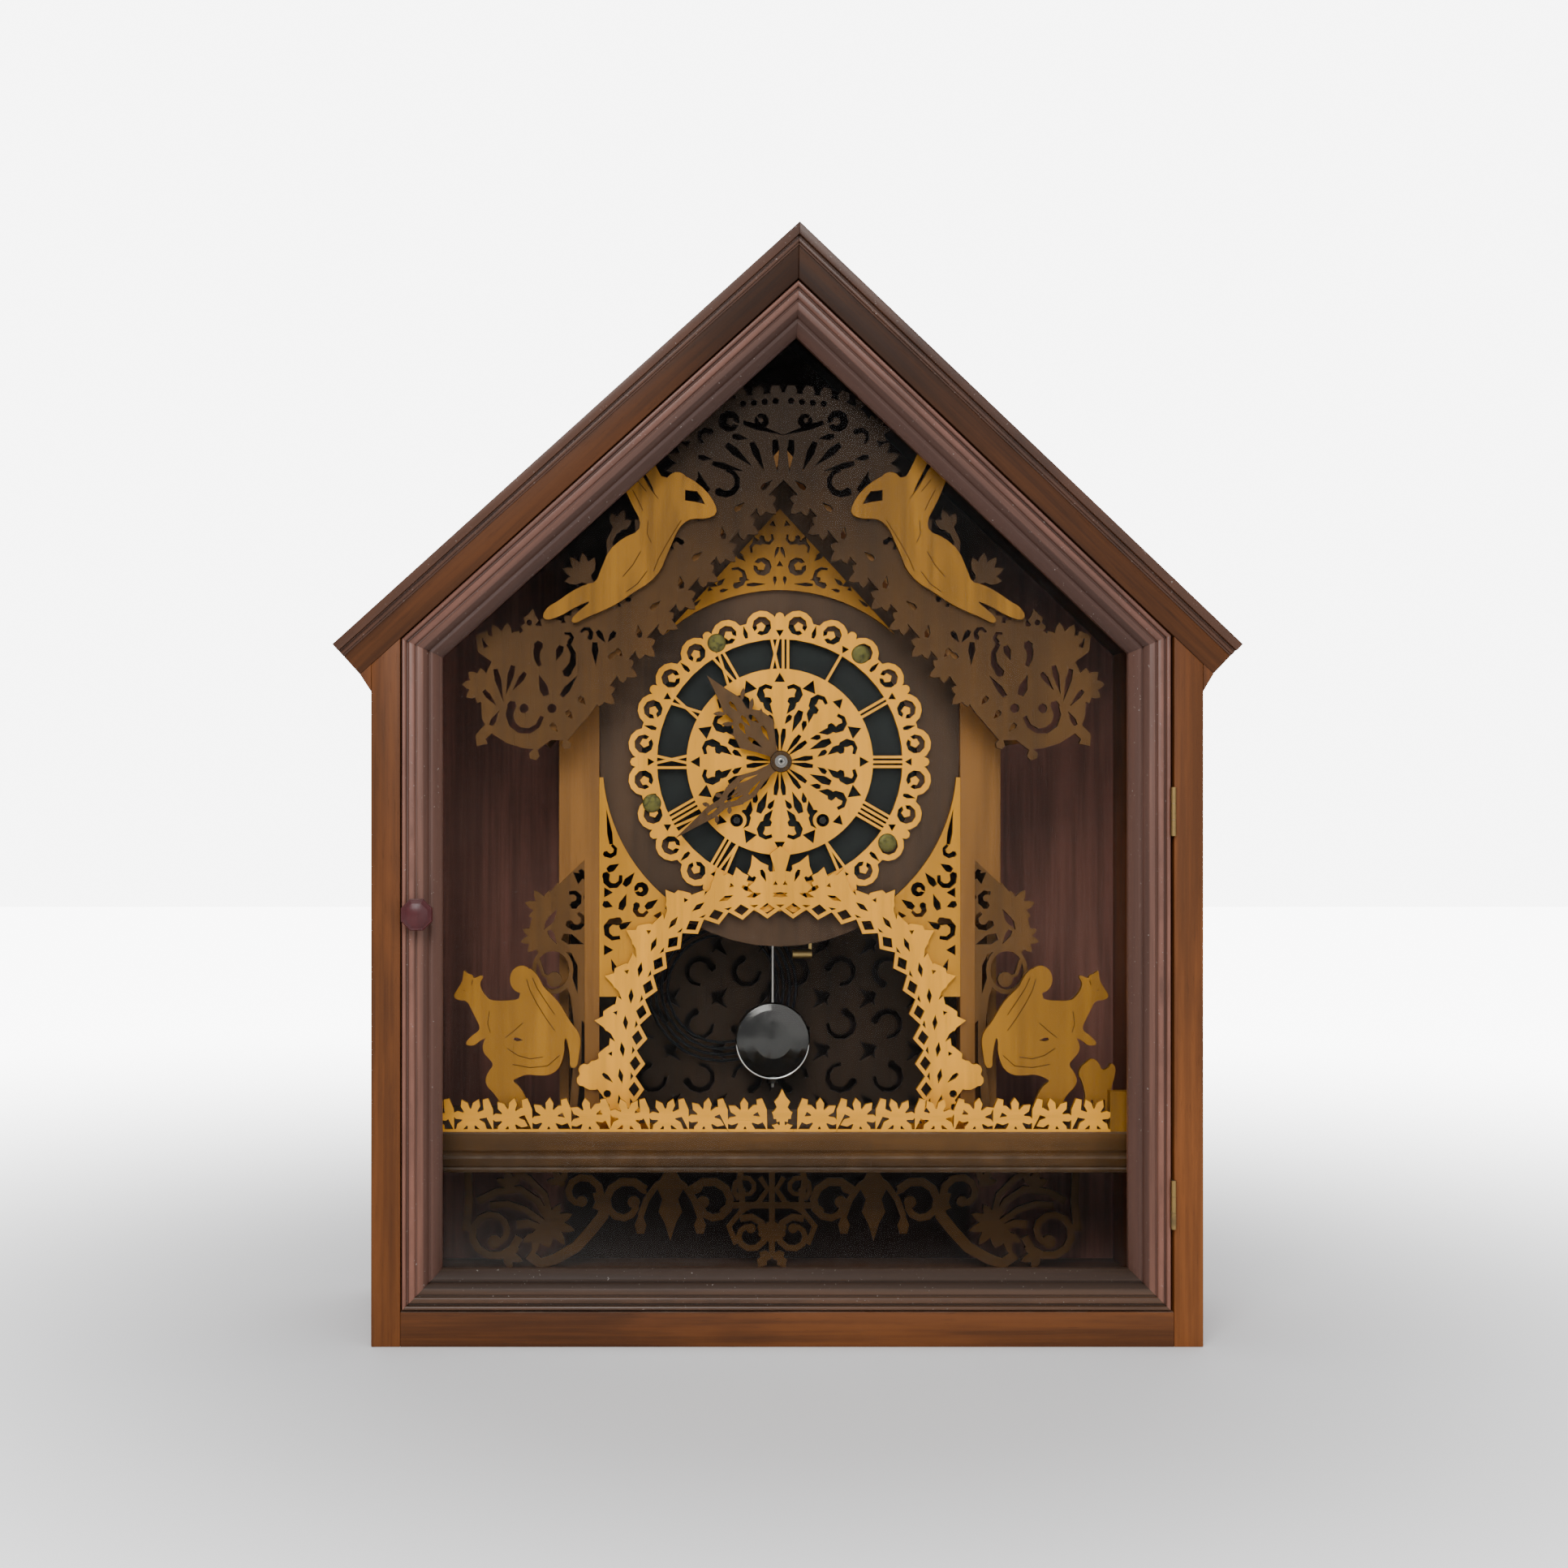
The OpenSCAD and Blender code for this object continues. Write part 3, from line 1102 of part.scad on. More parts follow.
// A cloaked figure kneeling with its arm round a deer, drawn from the shelf
kneeler_outline = [
  [202.3, 102.3], [200.3, 99.8], [196.7, 98.7], [196, 96.4], [191.3, 98.7], [189.8, 97.5], [192.3, 93.6],
  [191, 89.1], [187.7, 84.6], [184.9, 82.5], [177, 82.2], [167.4, 83.1], [166.9, 85.7], [161.3, 103.7],
  [156.8, 100.4], [153.9, 95.9], [151.7, 91.1], [146.1, 86], [141, 80.1], [137.1, 73.4], [133.7, 67.8],
  [129.2, 62.4], [127.8, 56.5], [128.9, 48.1], [130.3, 39.7], [134.8, 39.7], [134.7, 46.4], [135.7, 53.2],
  [137.2, 59.3], [138.4, 56.5], [138.2, 50.3], [139.8, 43.6], [142.4, 38.3], [147.8, 34.9], [154.5, 34.6],
  [162.4, 35.5], [168.8, 32.9], [171.4, 31.2], [167.4, 28.2], [164.1, 23.4], [161.8, 17.2], [161.3, 0],
  [179.2, 0], [177.8, 14.9], [182.6, 22.8], [187.1, 27], [188.9, 31.5], [187.1, 36.6], [183.2, 41.6],
  [186.5, 45.6], [189.6, 48.9], [190.6, 52.9], [189.5, 56.8], [188.2, 58.7], [192.2, 56.8], [195.6, 53.8],
  [200.3, 53.8], [201.3, 55.7], [197.5, 59.9], [193.2, 62.7], [192, 65.5], [194.4, 70.6], [197.2, 76.2],
  [200.3, 82.4], [206.8, 82.8], [209.1, 85.5], [207.2, 88.6], [203.5, 94.5], [202.9, 98.4]
];
module kneeler_shape() {
  translate([0, shelf_z]) difference() {
    union() {
      polygon(rounded(kneeler_outline));
      translate([165.5, 96]) scale([1, 1.15]) circle(7.6, $fn = 18);
      translate([160, 0]) square([22, 3]);
    }
    translate([164.5, 57]) rotate(10) tear(6.5, 2.4);
  }
}
module kneeler_left() {
  color(maple) sawn(kneeler_y) mirror([1, 0]) kneeler_shape();
}
module kneeler_right() {
  color(maple) sawn(kneeler_y) kneeler_shape();
}
// A small standing lamb beside the right-hand figure
module lamb() {
  x = end_block_x - 16.5;
  color(maple) sawn(kneeler_y) translate([x, shelf_z]) {
    polygon(rounded([[3, 19], [2, 25], [0.5, 31], [-2, 35], [-0.5, 40], [3, 43], [7, 46], [11, 43],
      [13, 38], [17, 39], [19, 43], [22, 40], [21, 33], [19, 27], [19, 19]]));
    for (leg = [2.4, 7.4, 15]) translate([leg, 0]) square([3.6, 22]);
    square([20, 3]);
  }
}

// Hands, drawn pointing up
function hand_half(l, w) = [[0, 4], [0.1 * l, 3.2], [0.2 * l, 0.55 * w], [0.32 * l, w], [0.45 * l, 0.85 * w],
  [0.55 * l, 0.42 * w], [0.66 * l, 0.5 * w], [0.78 * l, 0.3 * w], [l, 0]];
module hand(l, w) {
  half = hand_half(l, w);
  rotate(90) difference() {
    union() {
      polygon(concat(half, reverse(flip(half))));
      circle(6, $fn = 32);
      for (s = [-1, 1], t = [0.28, 0.4, 0.52, 0.64])
        translate([t * l, 0.5 * s * w]) rotate(50 * s) blade(0.55 * w, 3);
    }
    for (s = [-1, 1]) {
      translate([0.2 * l, 0.22 * s * w]) rotate(14 * s) tear(0.16 * l, 0.22 * w);
      translate([0.38 * l, 0.4 * s * w]) rotate(-12 * s) tear(0.12 * l, 0.24 * w);
    }
    translate([0.4 * l, 0]) tear(0.14 * l, 0.2 * w);
    translate([0.58 * l, 0]) tear(0.12 * l, 0.2 * w);
  }
}
module minute_hand() {
  color(dark_wood) translate([0, 0, dial_z]) difference() {
    sawn(minute_y, hand_t) rotate(-minute_angle) hand(minute_len, 8.5);
    along_y(minute_y - 1, minute_y + hand_t + 1, arbor_d / 2);
  }
}
module hour_hand() {
  bore = arbor_d / 2 + running;
  color(dark_wood) translate([0, 0, dial_z]) difference() {
    union() {
      sawn(hour_y, hand_t) rotate(-hour_angle) hand(hour_len, 14);
      along_y(hour_y, front_plate_y - 1, bore + pipe_wall);
    }
    along_y(hour_y - 1, front_plate_y, bore);
  }
}
// The arbor that carries the minute hand, with its nut and its wheel
module centre_arbor() {
  color(steel) {
    along_y(minute_y - 2.4, back_plate_y + plate_t + 1, arbor_d / 2, 0, dial_z);
    along_y(minute_y - 1.8, minute_y, 4, 0, dial_z);
    along_y(wheel_y, wheel_y + 3, wheel_gap / (train_ratio + 1) - 0.15, 0, dial_z);
  }
}

// The movement behind the dial
plate_half = 62;
plate_low = dial_z - 96;
plate_high = dial_z + 50;
pillar_places = [for (x = [-1, 1], z = [plate_low + 8, plate_high - 8]) [x * (plate_half - 8), z]];
module plate(y) {
  difference() {
    translate([-plate_half, y, plate_low]) cube([2 * plate_half, plate_t, plate_high - plate_low]);
    along_y(y - 1, y + plate_t + 1, arbor_d / 2 + running, 0, dial_z);
    for (s = [-1, 1]) along_y(y - 1, y + plate_t + 1, wind_d / 2 + running, s * wind_x, wind_z);
    along_y(y - 1, y + plate_t + 1, 1 + running, 0, verge_z);
    if (y < back_plate_y) for (p = pillar_places) along_y(y - 1, y + plate_t + 1, 3 + running, p.x, p.y);
    along_y(y - 1, y + plate_t + 1, 1 + running, hammer_x, hammer_z);
  }
}
module movement_plates() {
  color(brass) {
    plate(front_plate_y);
    plate(back_plate_y);
    along_y(back_plate_y + plate_t, pendulum_y + 2, 1, 0, pivot_z);
  }
}
module movement_pillars() {
  color(brass) for (p = pillar_places) along_y(works_y, back_plate_y, 3, p.x, p.y);
}
module barrel(s) {
  wheel_r = wheel_gap - wheel_gap / (train_ratio + 1) - 0.15;
  y = s > 0 ? wheel_y + 0.6 : wheel_y + 5;
  difference() {
    union() {
      along_y(barrel_y, barrel_y + barrel_len, barrel_d / 2, s * wind_x, wind_z);
      along_y(y, y + 1.8, wheel_r, s * wind_x, wind_z);
      along_y(wheel_y + 0.6, barrel_y, 5, s * wind_x, wind_z);
    }
    along_y(wheel_y - 1, barrel_y + barrel_len + 1, wind_d / 2 + running, s * wind_x, wind_z);
  }
}
module time_barrel() {
  color(brass) barrel(1);
}
module strike_barrel() {
  color(brass) barrel(-1);
}
// A winding arbor with its square end in front and its ratchet wheel
module winding_arbor(s) {
  x = s * wind_x;
  along_y(panel_y + 1, back_plate_y + plate_t, wind_d / 2, x, wind_z);
  along_y(front_plate_y - 2, front_plate_y - 0.3, 6, x, wind_z);
}
module time_arbor() {
  color(steel) winding_arbor(1);
}
module strike_arbor() {
  color(steel) winding_arbor(-1);
}

// The pendulum hangs from a stud on the back plate
rod_d = 2;
module pendulum_rod() {
  color(steel) difference() {
    union() {
      along_y(pendulum_y - 1.4, pendulum_y + 1.4, 3.2, 0, pivot_z);
      translate([0, pendulum_y, bob_z - bob_d / 2 - 7])
        cylinder(d = rod_d, h = pendulum_len + bob_d / 2 + 5, $fn = 24);
    }
    along_y(pendulum_y - 3, pendulum_y + 3, 1 + running, 0, pivot_z);
  }
}
module pendulum_bob() {
  r = bob_d / 2;
  color("#c9cdd0") difference() {
    union() {
      translate([0, pendulum_y, bob_z]) rotate([90, 0, 0]) rotate_extrude($fn = 96) polygon([
        [0, -bob_t / 2], [0.5 * r, -0.44 * bob_t], [0.8 * r, -0.28 * bob_t], [r - 1, -1.6], [r, -1], [r, 1],
        [r - 1, 1.6], [0.8 * r, 0.28 * bob_t], [0.5 * r, 0.44 * bob_t], [0, bob_t / 2]]);
      translate([0, pendulum_y, bob_z - r - 4]) cylinder(r = 4, h = 3, $fn = 32);
    }
    translate([0, pendulum_y, bob_z - r - 12]) cylinder(d = rod_d, h = bob_d + 30, $fn = 24);
  }
}
// The verge arbor with its crutch, whose fork holds the rod
module verge() {
  y = back_plate_y + plate_t;
  fork_gap = rod_d / 2 + 0.35;
  color(steel) {
    along_y(front_plate_y, y + 3, 1, 0, verge_z);
    translate([-1, y + 1.2, fork_z]) cube([2, 1.6, verge_z - fork_z]);
    for (s = [-1, 1]) translate([s > 0 ? fork_gap : -fork_gap - 1.2, y + 1.2, fork_z - 1]) cube([1.2, 8, 2]);
    translate([-fork_gap - 1.2, y + 1.2, fork_z - 1]) cube([2 * fork_gap + 2.4, 1.6, 2]);
    translate([-11, front_plate_y + plate_t + 20, verge_z - 2]) cube([22, 1.5, 3]);
  }
}

// The strike: a hammer on its own arbor, and a coiled gong on its block
module hammer() {
  y = gong_y - 4.5;
  color(brass) {
    along_y(front_plate_y, y + 3, 1, hammer_x, hammer_z);
    translate([hammer_x - 1, y + 1, hammer_z - hammer_drop]) cube([2, 2, hammer_drop]);
    translate([hammer_x - 12, y + 2, hammer_z - hammer_drop])
      rotate([0, 90, 0]) cylinder(d = 6.8, h = 13, $fn = 32);
  }
}

gong_wire = 2;
gong_x = -34;
gong_z = shelf_z + 84;
gong_pitch = 4.2;
gong_ring = 24;
gong_path = [for (i = [0:gong_turns * gong_ring])
  let (a = 90 - 360 * i / gong_ring, r = gong_r - gong_pitch * i / gong_ring)
  [gong_x + r * cos(a), gong_z + r * sin(a)]];
function gong_side(k, a) = let (t = tangent(gong_path, k), p = gong_path[k])
  [p.x - t.y * cos(a) * gong_wire / 2, gong_y + sin(a) * gong_wire / 2, p.y + t.x * cos(a) * gong_wire / 2];
module gong_coil() {
  n = len(gong_path);
  points = [for (k = [0:n - 1], j = [0:5]) gong_side(k, 60 * j)];
  polyhedron(points, concat(
    [[for (j = [5:-1:0]) j]],
    [[for (j = [0:5]) 6 * (n - 1) + j]],
    [for (k = [0:n - 2], j = [0:5])
      [6 * k + (j + 1) % 6, 6 * (k + 1) + (j + 1) % 6, 6 * (k + 1) + j, 6 * k + j]]),
    convexity = 10);
}
module gong() {
  top = gong_z + gong_r;
  color("#2e2f33") {
    gong_coil();
    translate([gong_x - 8, gong_y + gong_wire / 2, top - 9])
      cube([16, back_fret_y - gong_y - gong_wire / 2, 18]);
  }
}
// The board under the movement, between the house's sides
module seat_board() {
  x = post_out - house_t;
  y = panel_y + post_d;
  color(dark_wood) translate([-x, y, plate_low - 9])
    cube([2 * x, back_plate_y + plate_t - y, 9]);
}

case_side_left();
case_side_right();
case_bottom();
case_back();
roof_board_left();
roof_board_right();
roof_cover_left();
roof_cover_right();
eave_moulds();
door_stile_left();
door_stile_right();
door_rail();
door_rafter_left();
door_rafter_right();
door_glass();
glazing_beads();
door_knob();
hinge_door_leaves();
hinge_case_leaves();
hinge_pins();
shelf_board();
shelf_edge();
gallery();
end_block();
pelmet();
posts();
house_sides();
house_roof();
face_board();
back_fret();
gable_fret_left();
gable_fret_right();
brackets();
upper_spandrel();
lower_spandrels();
arch_fret();
dial_fret();
dial_plate();
dial_pins();
flyer_left();
flyer_right();
kneeler_left();
kneeler_right();
lamb();
movement_plates();
movement_pillars();
time_barrel();
strike_barrel();
time_arbor();
strike_arbor();
centre_arbor();
minute_hand();
hour_hand();
pendulum_rod();
pendulum_bob();
verge();
hammer();
gong();
seat_board();
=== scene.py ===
"""Finishes and small parts of a fretwork house clock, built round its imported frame."""

import json
import math

import bpy
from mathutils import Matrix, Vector

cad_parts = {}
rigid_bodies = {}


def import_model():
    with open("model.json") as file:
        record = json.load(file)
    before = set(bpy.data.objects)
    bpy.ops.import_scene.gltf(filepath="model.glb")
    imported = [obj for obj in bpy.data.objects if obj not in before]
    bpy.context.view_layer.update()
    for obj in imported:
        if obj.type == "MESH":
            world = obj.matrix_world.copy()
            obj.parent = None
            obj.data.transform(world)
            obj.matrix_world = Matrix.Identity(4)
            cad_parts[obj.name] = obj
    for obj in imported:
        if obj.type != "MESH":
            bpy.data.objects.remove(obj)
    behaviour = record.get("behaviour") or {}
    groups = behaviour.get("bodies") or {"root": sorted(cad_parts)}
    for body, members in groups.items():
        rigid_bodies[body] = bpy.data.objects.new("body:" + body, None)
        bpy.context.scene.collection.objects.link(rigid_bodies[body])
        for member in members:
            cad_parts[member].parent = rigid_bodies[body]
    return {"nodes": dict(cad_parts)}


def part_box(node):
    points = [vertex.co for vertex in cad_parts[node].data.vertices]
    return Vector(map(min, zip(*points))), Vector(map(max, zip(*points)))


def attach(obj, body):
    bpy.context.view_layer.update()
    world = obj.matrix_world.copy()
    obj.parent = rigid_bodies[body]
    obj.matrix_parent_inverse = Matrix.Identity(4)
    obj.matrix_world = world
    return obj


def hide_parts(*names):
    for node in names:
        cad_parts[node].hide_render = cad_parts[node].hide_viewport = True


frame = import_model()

bl_info = {
    "name": "Fretwork Clock",
    "version": (1, 0, 0),
    "blender": (4, 5, 0),
    "location": "3D View > Sidebar > Fretwork Clock",
    "description": "Finishes and small parts of a fretwork house clock in a glazed case",
    "category": "Object",
}

MM = 0.001
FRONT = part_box("case_side_left")[0].y
SHELF_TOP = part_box("shelf_board")[1].z
DIAL = sum(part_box("dial_plate"), Vector()) / 2
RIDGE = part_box("roof_cover_left")[1]
EAVE_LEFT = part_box("roof_cover_left")[0].x
EAVE_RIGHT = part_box("roof_cover_right")[1].x
EAVE_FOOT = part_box("roof_cover_left")[0].z
RAKE_LEFT = math.atan2(RIDGE.z - EAVE_FOOT, RIDGE.x - EAVE_LEFT)
RAKE_RIGHT = math.atan2(RIDGE.z - EAVE_FOOT, EAVE_RIGHT - RIDGE.x)
GABLE_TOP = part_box("gable_fret_left")[1].z
ALONG_X = 0.0
ALONG_Z = math.radians(90)

# Depths behind a moulding's front, in millimetres, over which the painted highlight on its top edge ends
# and the painted shade in its cove starts and ends
CREST_END = (0.05, 0.45)
HOLLOW_START = (0.9, 1.7)
HOLLOW_END = (8.5, 12.0)

# What the pieces of one kind of wood have in common: gloss, contrast of the streaks, fineness of the figure,
# dust, and how dull the sawn edges are
BOARD = {"gloss": 0.42, "dust": 0.25, "coat": 0.04}
SLOPE = {"gloss": 0.45, "contrast": 0.9, "figure": 1.4, "dust": 0.25}
HOUSE = {"contrast": 0.4, "figure": 1.2}
GOLDEN = {"gloss": 0.5, "contrast": 0.3, "figure": 1.2, "dull": 0.85}
SHADED = {"gloss": 0.55, "contrast": 0.4, "figure": 1.2, "dust": 0.1, "dull": 0.8}

# How far the corners of the finer pieces are eased
COVER_EASE = 0.3 * MM
DOOR_EASE = 0.25 * MM
POST_EASE = 0.4 * MM

# The floor's width, and each light's name, place, width and the setting that holds its power
FLOOR_SIZE = 9.0
LAMPS = (
    ("Key", (-0.5, -2.1, 1.75), 1.3, "key_power"),
    ("Fill", (1.3, -2.4, 0.8), 2.2, "fill_power"),
    ("Top", (0.2, 0.9, 2.3), 1.6, "fill_power"),
)


# Shader values and paints


class Value:
    """A number that varies over a surface; arithmetic on it adds Math nodes."""

    def __init__(self, paint, socket):
        self.paint = paint
        self.socket = socket

    def _maths(self, operation, first, second):
        node = self.paint.node("ShaderNodeMath", {"operation": operation}, {0: first, 1: second})
        return Value(self.paint, node.outputs[0])

    def __add__(self, other):
        return self._maths("ADD", self, other)

    def __sub__(self, other):
        return self._maths("SUBTRACT", self, other)

    def __mul__(self, other):
        return self._maths("MULTIPLY", self, other)

    def __truediv__(self, other):
        return self._maths("DIVIDE", self, other)

    def __pow__(self, other):
        return self._maths("POWER", self, other)

    def __rsub__(self, other):
        return self._maths("SUBTRACT", other, self)

    __radd__ = __add__
    __rmul__ = __mul__

    def size(self):
        """The value without its sign."""
        return self._maths("ABSOLUTE", self, 0.0)

    def ramp(self, low, high):
        """A soft step from 0 at low to 1 at high."""
        node = self.paint.node(
            "ShaderNodeMapRange",
            {"interpolation_type": "SMOOTHSTEP", "clamp": True},
            {"Value": self, "From Min": low, "From Max": high},
        )
        return Value(self.paint, node.outputs["Result"])


class Paint:
    """One material and the few moves that its node tree needs."""

    def __init__(self, name):
        self.material = bpy.data.materials.new(name)
        self.material.use_nodes = True
        self.tree = self.material.node_tree
        self.tree.nodes.clear()
        self.output = self.tree.nodes.new("ShaderNodeOutputMaterial")

    def node(self, kind, settings=None, sockets=None):
        """Adds a node, sets its settings, then its sockets by value or link."""
        node = self.tree.nodes.new(kind)
        for key, setting in (settings or {}).items():
            setattr(node, key, setting)
        for key, given in (sockets or {}).items():
            given = given.socket if isinstance(given, Value) else given
            if isinstance(given, bpy.types.NodeSocket):
                self.tree.links.new(given, node.inputs[key])
            else:
                node.inputs[key].default_value = given
        return node

    def place(self, turn=0.0, stretch=(1, 1, 1)):
        """Object coordinates, turned in the clock's plane, then stretched."""
        coords = self.node("ShaderNodeTexCoord").outputs["Object"]
        turned = self.node("ShaderNodeMapping", None, {"Vector": coords, "Rotation": (0, turn, 0)}).outputs[0]
        return self.node("ShaderNodeMapping", None, {"Vector": turned, "Scale": stretch}).outputs[0]

    def axis(self, source, name):
        """One component of a point or a normal."""
        split = self.node("ShaderNodeSeparateXYZ", None, {0: source})
        return Value(self, split.outputs[name])

    def facing(self, name):
        """One component of the surface's own normal."""
        return self.axis(self.node("ShaderNodeTexCoord").outputs["Normal"], name)

    def noise(self, place, scale=1.0, detail=3.0, roughness=0.5, distortion=0.0):
        node = self.node(
            "ShaderNodeTexNoise",
            {"noise_dimensions": "3D"},
            {
                "Vector": place, "Scale": scale, "Detail": detail, "Roughness": roughness,
                "Distortion": distortion,
            },
        )
        return Value(self, node.outputs[0])

    def blend(self, share, first, second):
        """Two colours mixed by share."""
        node = self.node(
            "ShaderNodeMix",
            {"data_type": "RGBA", "clamp_factor": True},
            {"Factor": share, 6: first, 7: second},
        )
        return node.outputs[2]

    def bump(self, height, distance, strength=1.0):
        node = self.node(
            "ShaderNodeBump", None, {"Height": height, "Distance": distance, "Strength": strength}
        )
        return node.outputs[0]

    def surface(self, **sockets):
        """A Principled shader; underscores in the names stand for spaces."""
        named = {key.replace("_", " "): given for key, given in sockets.items()}
        return self.node("ShaderNodeBsdfPrincipled", None, named).outputs[0]

    def finish(self, shader):
        self.tree.links.new(shader, self.output.inputs["Surface"])
        return self.material


def shade(colour, by):
    """A colour made darker or lighter, its alpha kept."""
    return tuple(min(1.0, c * by) for c in colour[:3]) + (1.0,)


def wood(
    name, colour, turn=ALONG_X, gloss=0.45, contrast=0.5, figure=1.0, dust=0.0, coat=0.0, dull=0.0,
    height_shade=None, niche_shade_width=None,
):
    """Wood with streaks and pores along its grain, dust on top, darker sawn ends, and painted shade by height
    and in a middle part.

    Painted shade by height takes the height where the wood starts to darken, the height where it is darkest,
    and by how much.
    Painted shade in the middle takes half the width of a middle part of the inner face that is darkened as
    shade.
    """
    paint = Paint(name)
    tone = paint.noise(paint.place(turn, (3.0 * figure, 22.0 * figure, 22.0 * figure)), 1.0, 4.0, 0.55, 0.4)
    streak = paint.noise(paint.place(turn, (7.0, 230.0, 230.0)), 1.0, 5.0, 0.6, 0.15)
    fibre = paint.noise(paint.place(turn, (22.0, 900.0, 900.0)), 1.0, 3.0, 0.5)
    pores = paint.noise(paint.place(turn, (65.0, 1500.0, 1500.0)), 1.0, 2.0, 0.5).ramp(0.62, 0.74)
    share = (tone.ramp(0.3, 0.72) * 0.55 + streak.ramp(0.3, 0.7) * 0.3 + fibre * 0.15).ramp(0.1, 0.9)
    body = paint.blend(share, shade(colour, 1.0 - 0.6 * contrast), shade(colour, 1.0 + 0.4 * contrast))
    body = paint.blend(pores * 0.5 * contrast, body, shade(colour, 0.3))
    if dull:
        edge = 1.0 - paint.facing("Y").size()
        body = paint.blend(edge.ramp(0.2, 0.8) * dull, body, shade(colour, 0.35))
    cloud = paint.noise(paint.place(), 46.0, 4.0, 0.6).ramp(0.35, 0.75)
    # Painted shade: the wood darkens between two heights
    if height_shade:
        start, end, depth = height_shade
        height = paint.axis(paint.place(), "Z") + (cloud - 0.5) * 12 * MM
        body = paint.blend(height.ramp(start, end) * depth, body, shade(colour, 0.12))
    # Painted shade: the middle of the inner face, inside the small house, is darkened
    if niche_shade_width:
        aside = paint.axis(paint.place(), "X").size()
        inner = (0.0 - paint.facing("Y")).ramp(0.2, 0.8)
        shaded_middle = (1.0 - aside.ramp(niche_shade_width - 6 * MM, niche_shade_width + 6 * MM)) * inner
        body = paint.blend(shaded_middle, body, shade(colour, 0.1))
    up = paint.facing("Z").ramp(0.35, 0.95)
    veil = up * (cloud * 0.6 + 0.4) * dust
    body = paint.blend(veil, body, (0.36, 0.33, 0.29, 1.0))
    rough = streak * 0.16 + (gloss + 0.02) + veil * 0.3
    height = streak * 0.6 + fibre * 0.4 - pores * 0.8
    return paint.finish(
        paint.surface(
            Base_Color=body,
            Roughness=rough,
            Specular_IOR_Level=0.2,
            Coat_Weight=coat,
            Coat_Roughness=0.25,
            Normal=paint.bump(height, 0.00012, 0.6),
        )
    )


def moulding_wood(name, colour, turn):
    """Polished moulding with painted shade in its cove and a painted highlight, in worn patches, along its
    front edge.
    """
    paint = Paint(name)
    place = paint.place()
    depth = (paint.axis(place, "Y") - FRONT) / MM
    tone = paint.noise(paint.place(turn, (3.5, 30.0, 30.0)), 1.0, 4.0, 0.55, 0.3)
    streak = paint.noise(paint.place(turn, (9.0, 320.0, 320.0)), 1.0, 5.0, 0.6)
    patch = paint.noise(place, 26.0, 5.0, 0.6)
    share = (tone.ramp(0.3, 0.7) * 0.6 + streak.ramp(0.3, 0.7) * 0.4).ramp(0.05, 0.95)
    body = paint.blend(share, shade(colour, 0.62), shade(colour, 1.25))
    # Painted shade: the cove is darkened by its depth behind the front, as shade under the overhang
    hollow_shade = depth.ramp(*HOLLOW_START) * (1.0 - depth.ramp(*HOLLOW_END))
    body = paint.blend(hollow_shade * 0.72, body, shade(colour, 0.3))
    # Painted highlight along the front edge, in patches that also stand for rubbed wear
    crest_wear_and_highlight = (1.0 - depth.ramp(*CREST_END)) * patch.ramp(0.3, 0.65)
    rubbed_and_lit = (colour[0] * 1.9, colour[1] * 1.8, colour[2] * 1.9, 1.0)
    body = paint.blend(crest_wear_and_highlight * 0.45, body, rubbed_and_lit)
    speck = paint.noise(place, 620.0, 2.0, 0.5).ramp(0.7, 0.76) * patch.ramp(0.35, 0.6)
    body = paint.blend(speck * 0.5, body, (0.42, 0.37, 0.33, 1.0))
    rough = patch * 0.22 + 0.3 + hollow_shade * 0.2
    return paint.finish(
        paint.surface(
            Base_Color=body,
            Roughness=rough,
            Specular_IOR_Level=0.35,
            Coat_Weight=0.06,
            Coat_Roughness=0.3,
            Normal=paint.bump(streak * 0.7 + patch * 0.3, 0.00010, 0.6),
        )
    )


def metal(name, colour, rough=0.3, stain=(0.1, 0.08, 0.05, 1.0), stained=0.3, scale=60.0):
    """Metal with brushed marks and cloudy tarnish."""
    paint = Paint(name)
    place = paint.place()
    cloud = paint.noise(place, scale, 5.0, 0.62).ramp(0.42, 0.72)
    brushed = paint.noise(paint.place(0.0, (900.0, 900.0, 60.0)), 1.0, 2.0, 0.5)
    body = paint.blend(cloud * stained, colour, stain)
    return paint.finish(
        paint.surface(
            Base_Color=body,
            Metallic=1.0 - cloud * stained * 0.6,
            Roughness=brushed * 0.12 + rough + cloud * stained * 0.5,
            Normal=paint.bump(brushed, 0.00003, 0.4),
        )
    )


def slate_paint(name, colour):
    """Matt blue-black sheet with faint scuffs."""
    paint = Paint(name)
    place = paint.place()
    cloud = paint.noise(place, 38.0, 5.0, 0.6)
    scuff = paint.noise(paint.place(0.5, (40.0, 700.0, 700.0)), 1.0, 3.0, 0.6).ramp(0.62, 0.72)
    body = paint.blend(cloud.ramp(0.35, 0.7), shade(colour, 0.7), shade(colour, 1.35))
    body = paint.blend(scuff * 0.25, body, shade(colour, 3.0))
    return paint.finish(
        paint.surface(
            Base_Color=body,
            Roughness=cloud * 0.2 + 0.5,
            Specular_IOR_Level=0.2,
            Normal=paint.bump(cloud, 0.00005, 0.5),
        )
    )


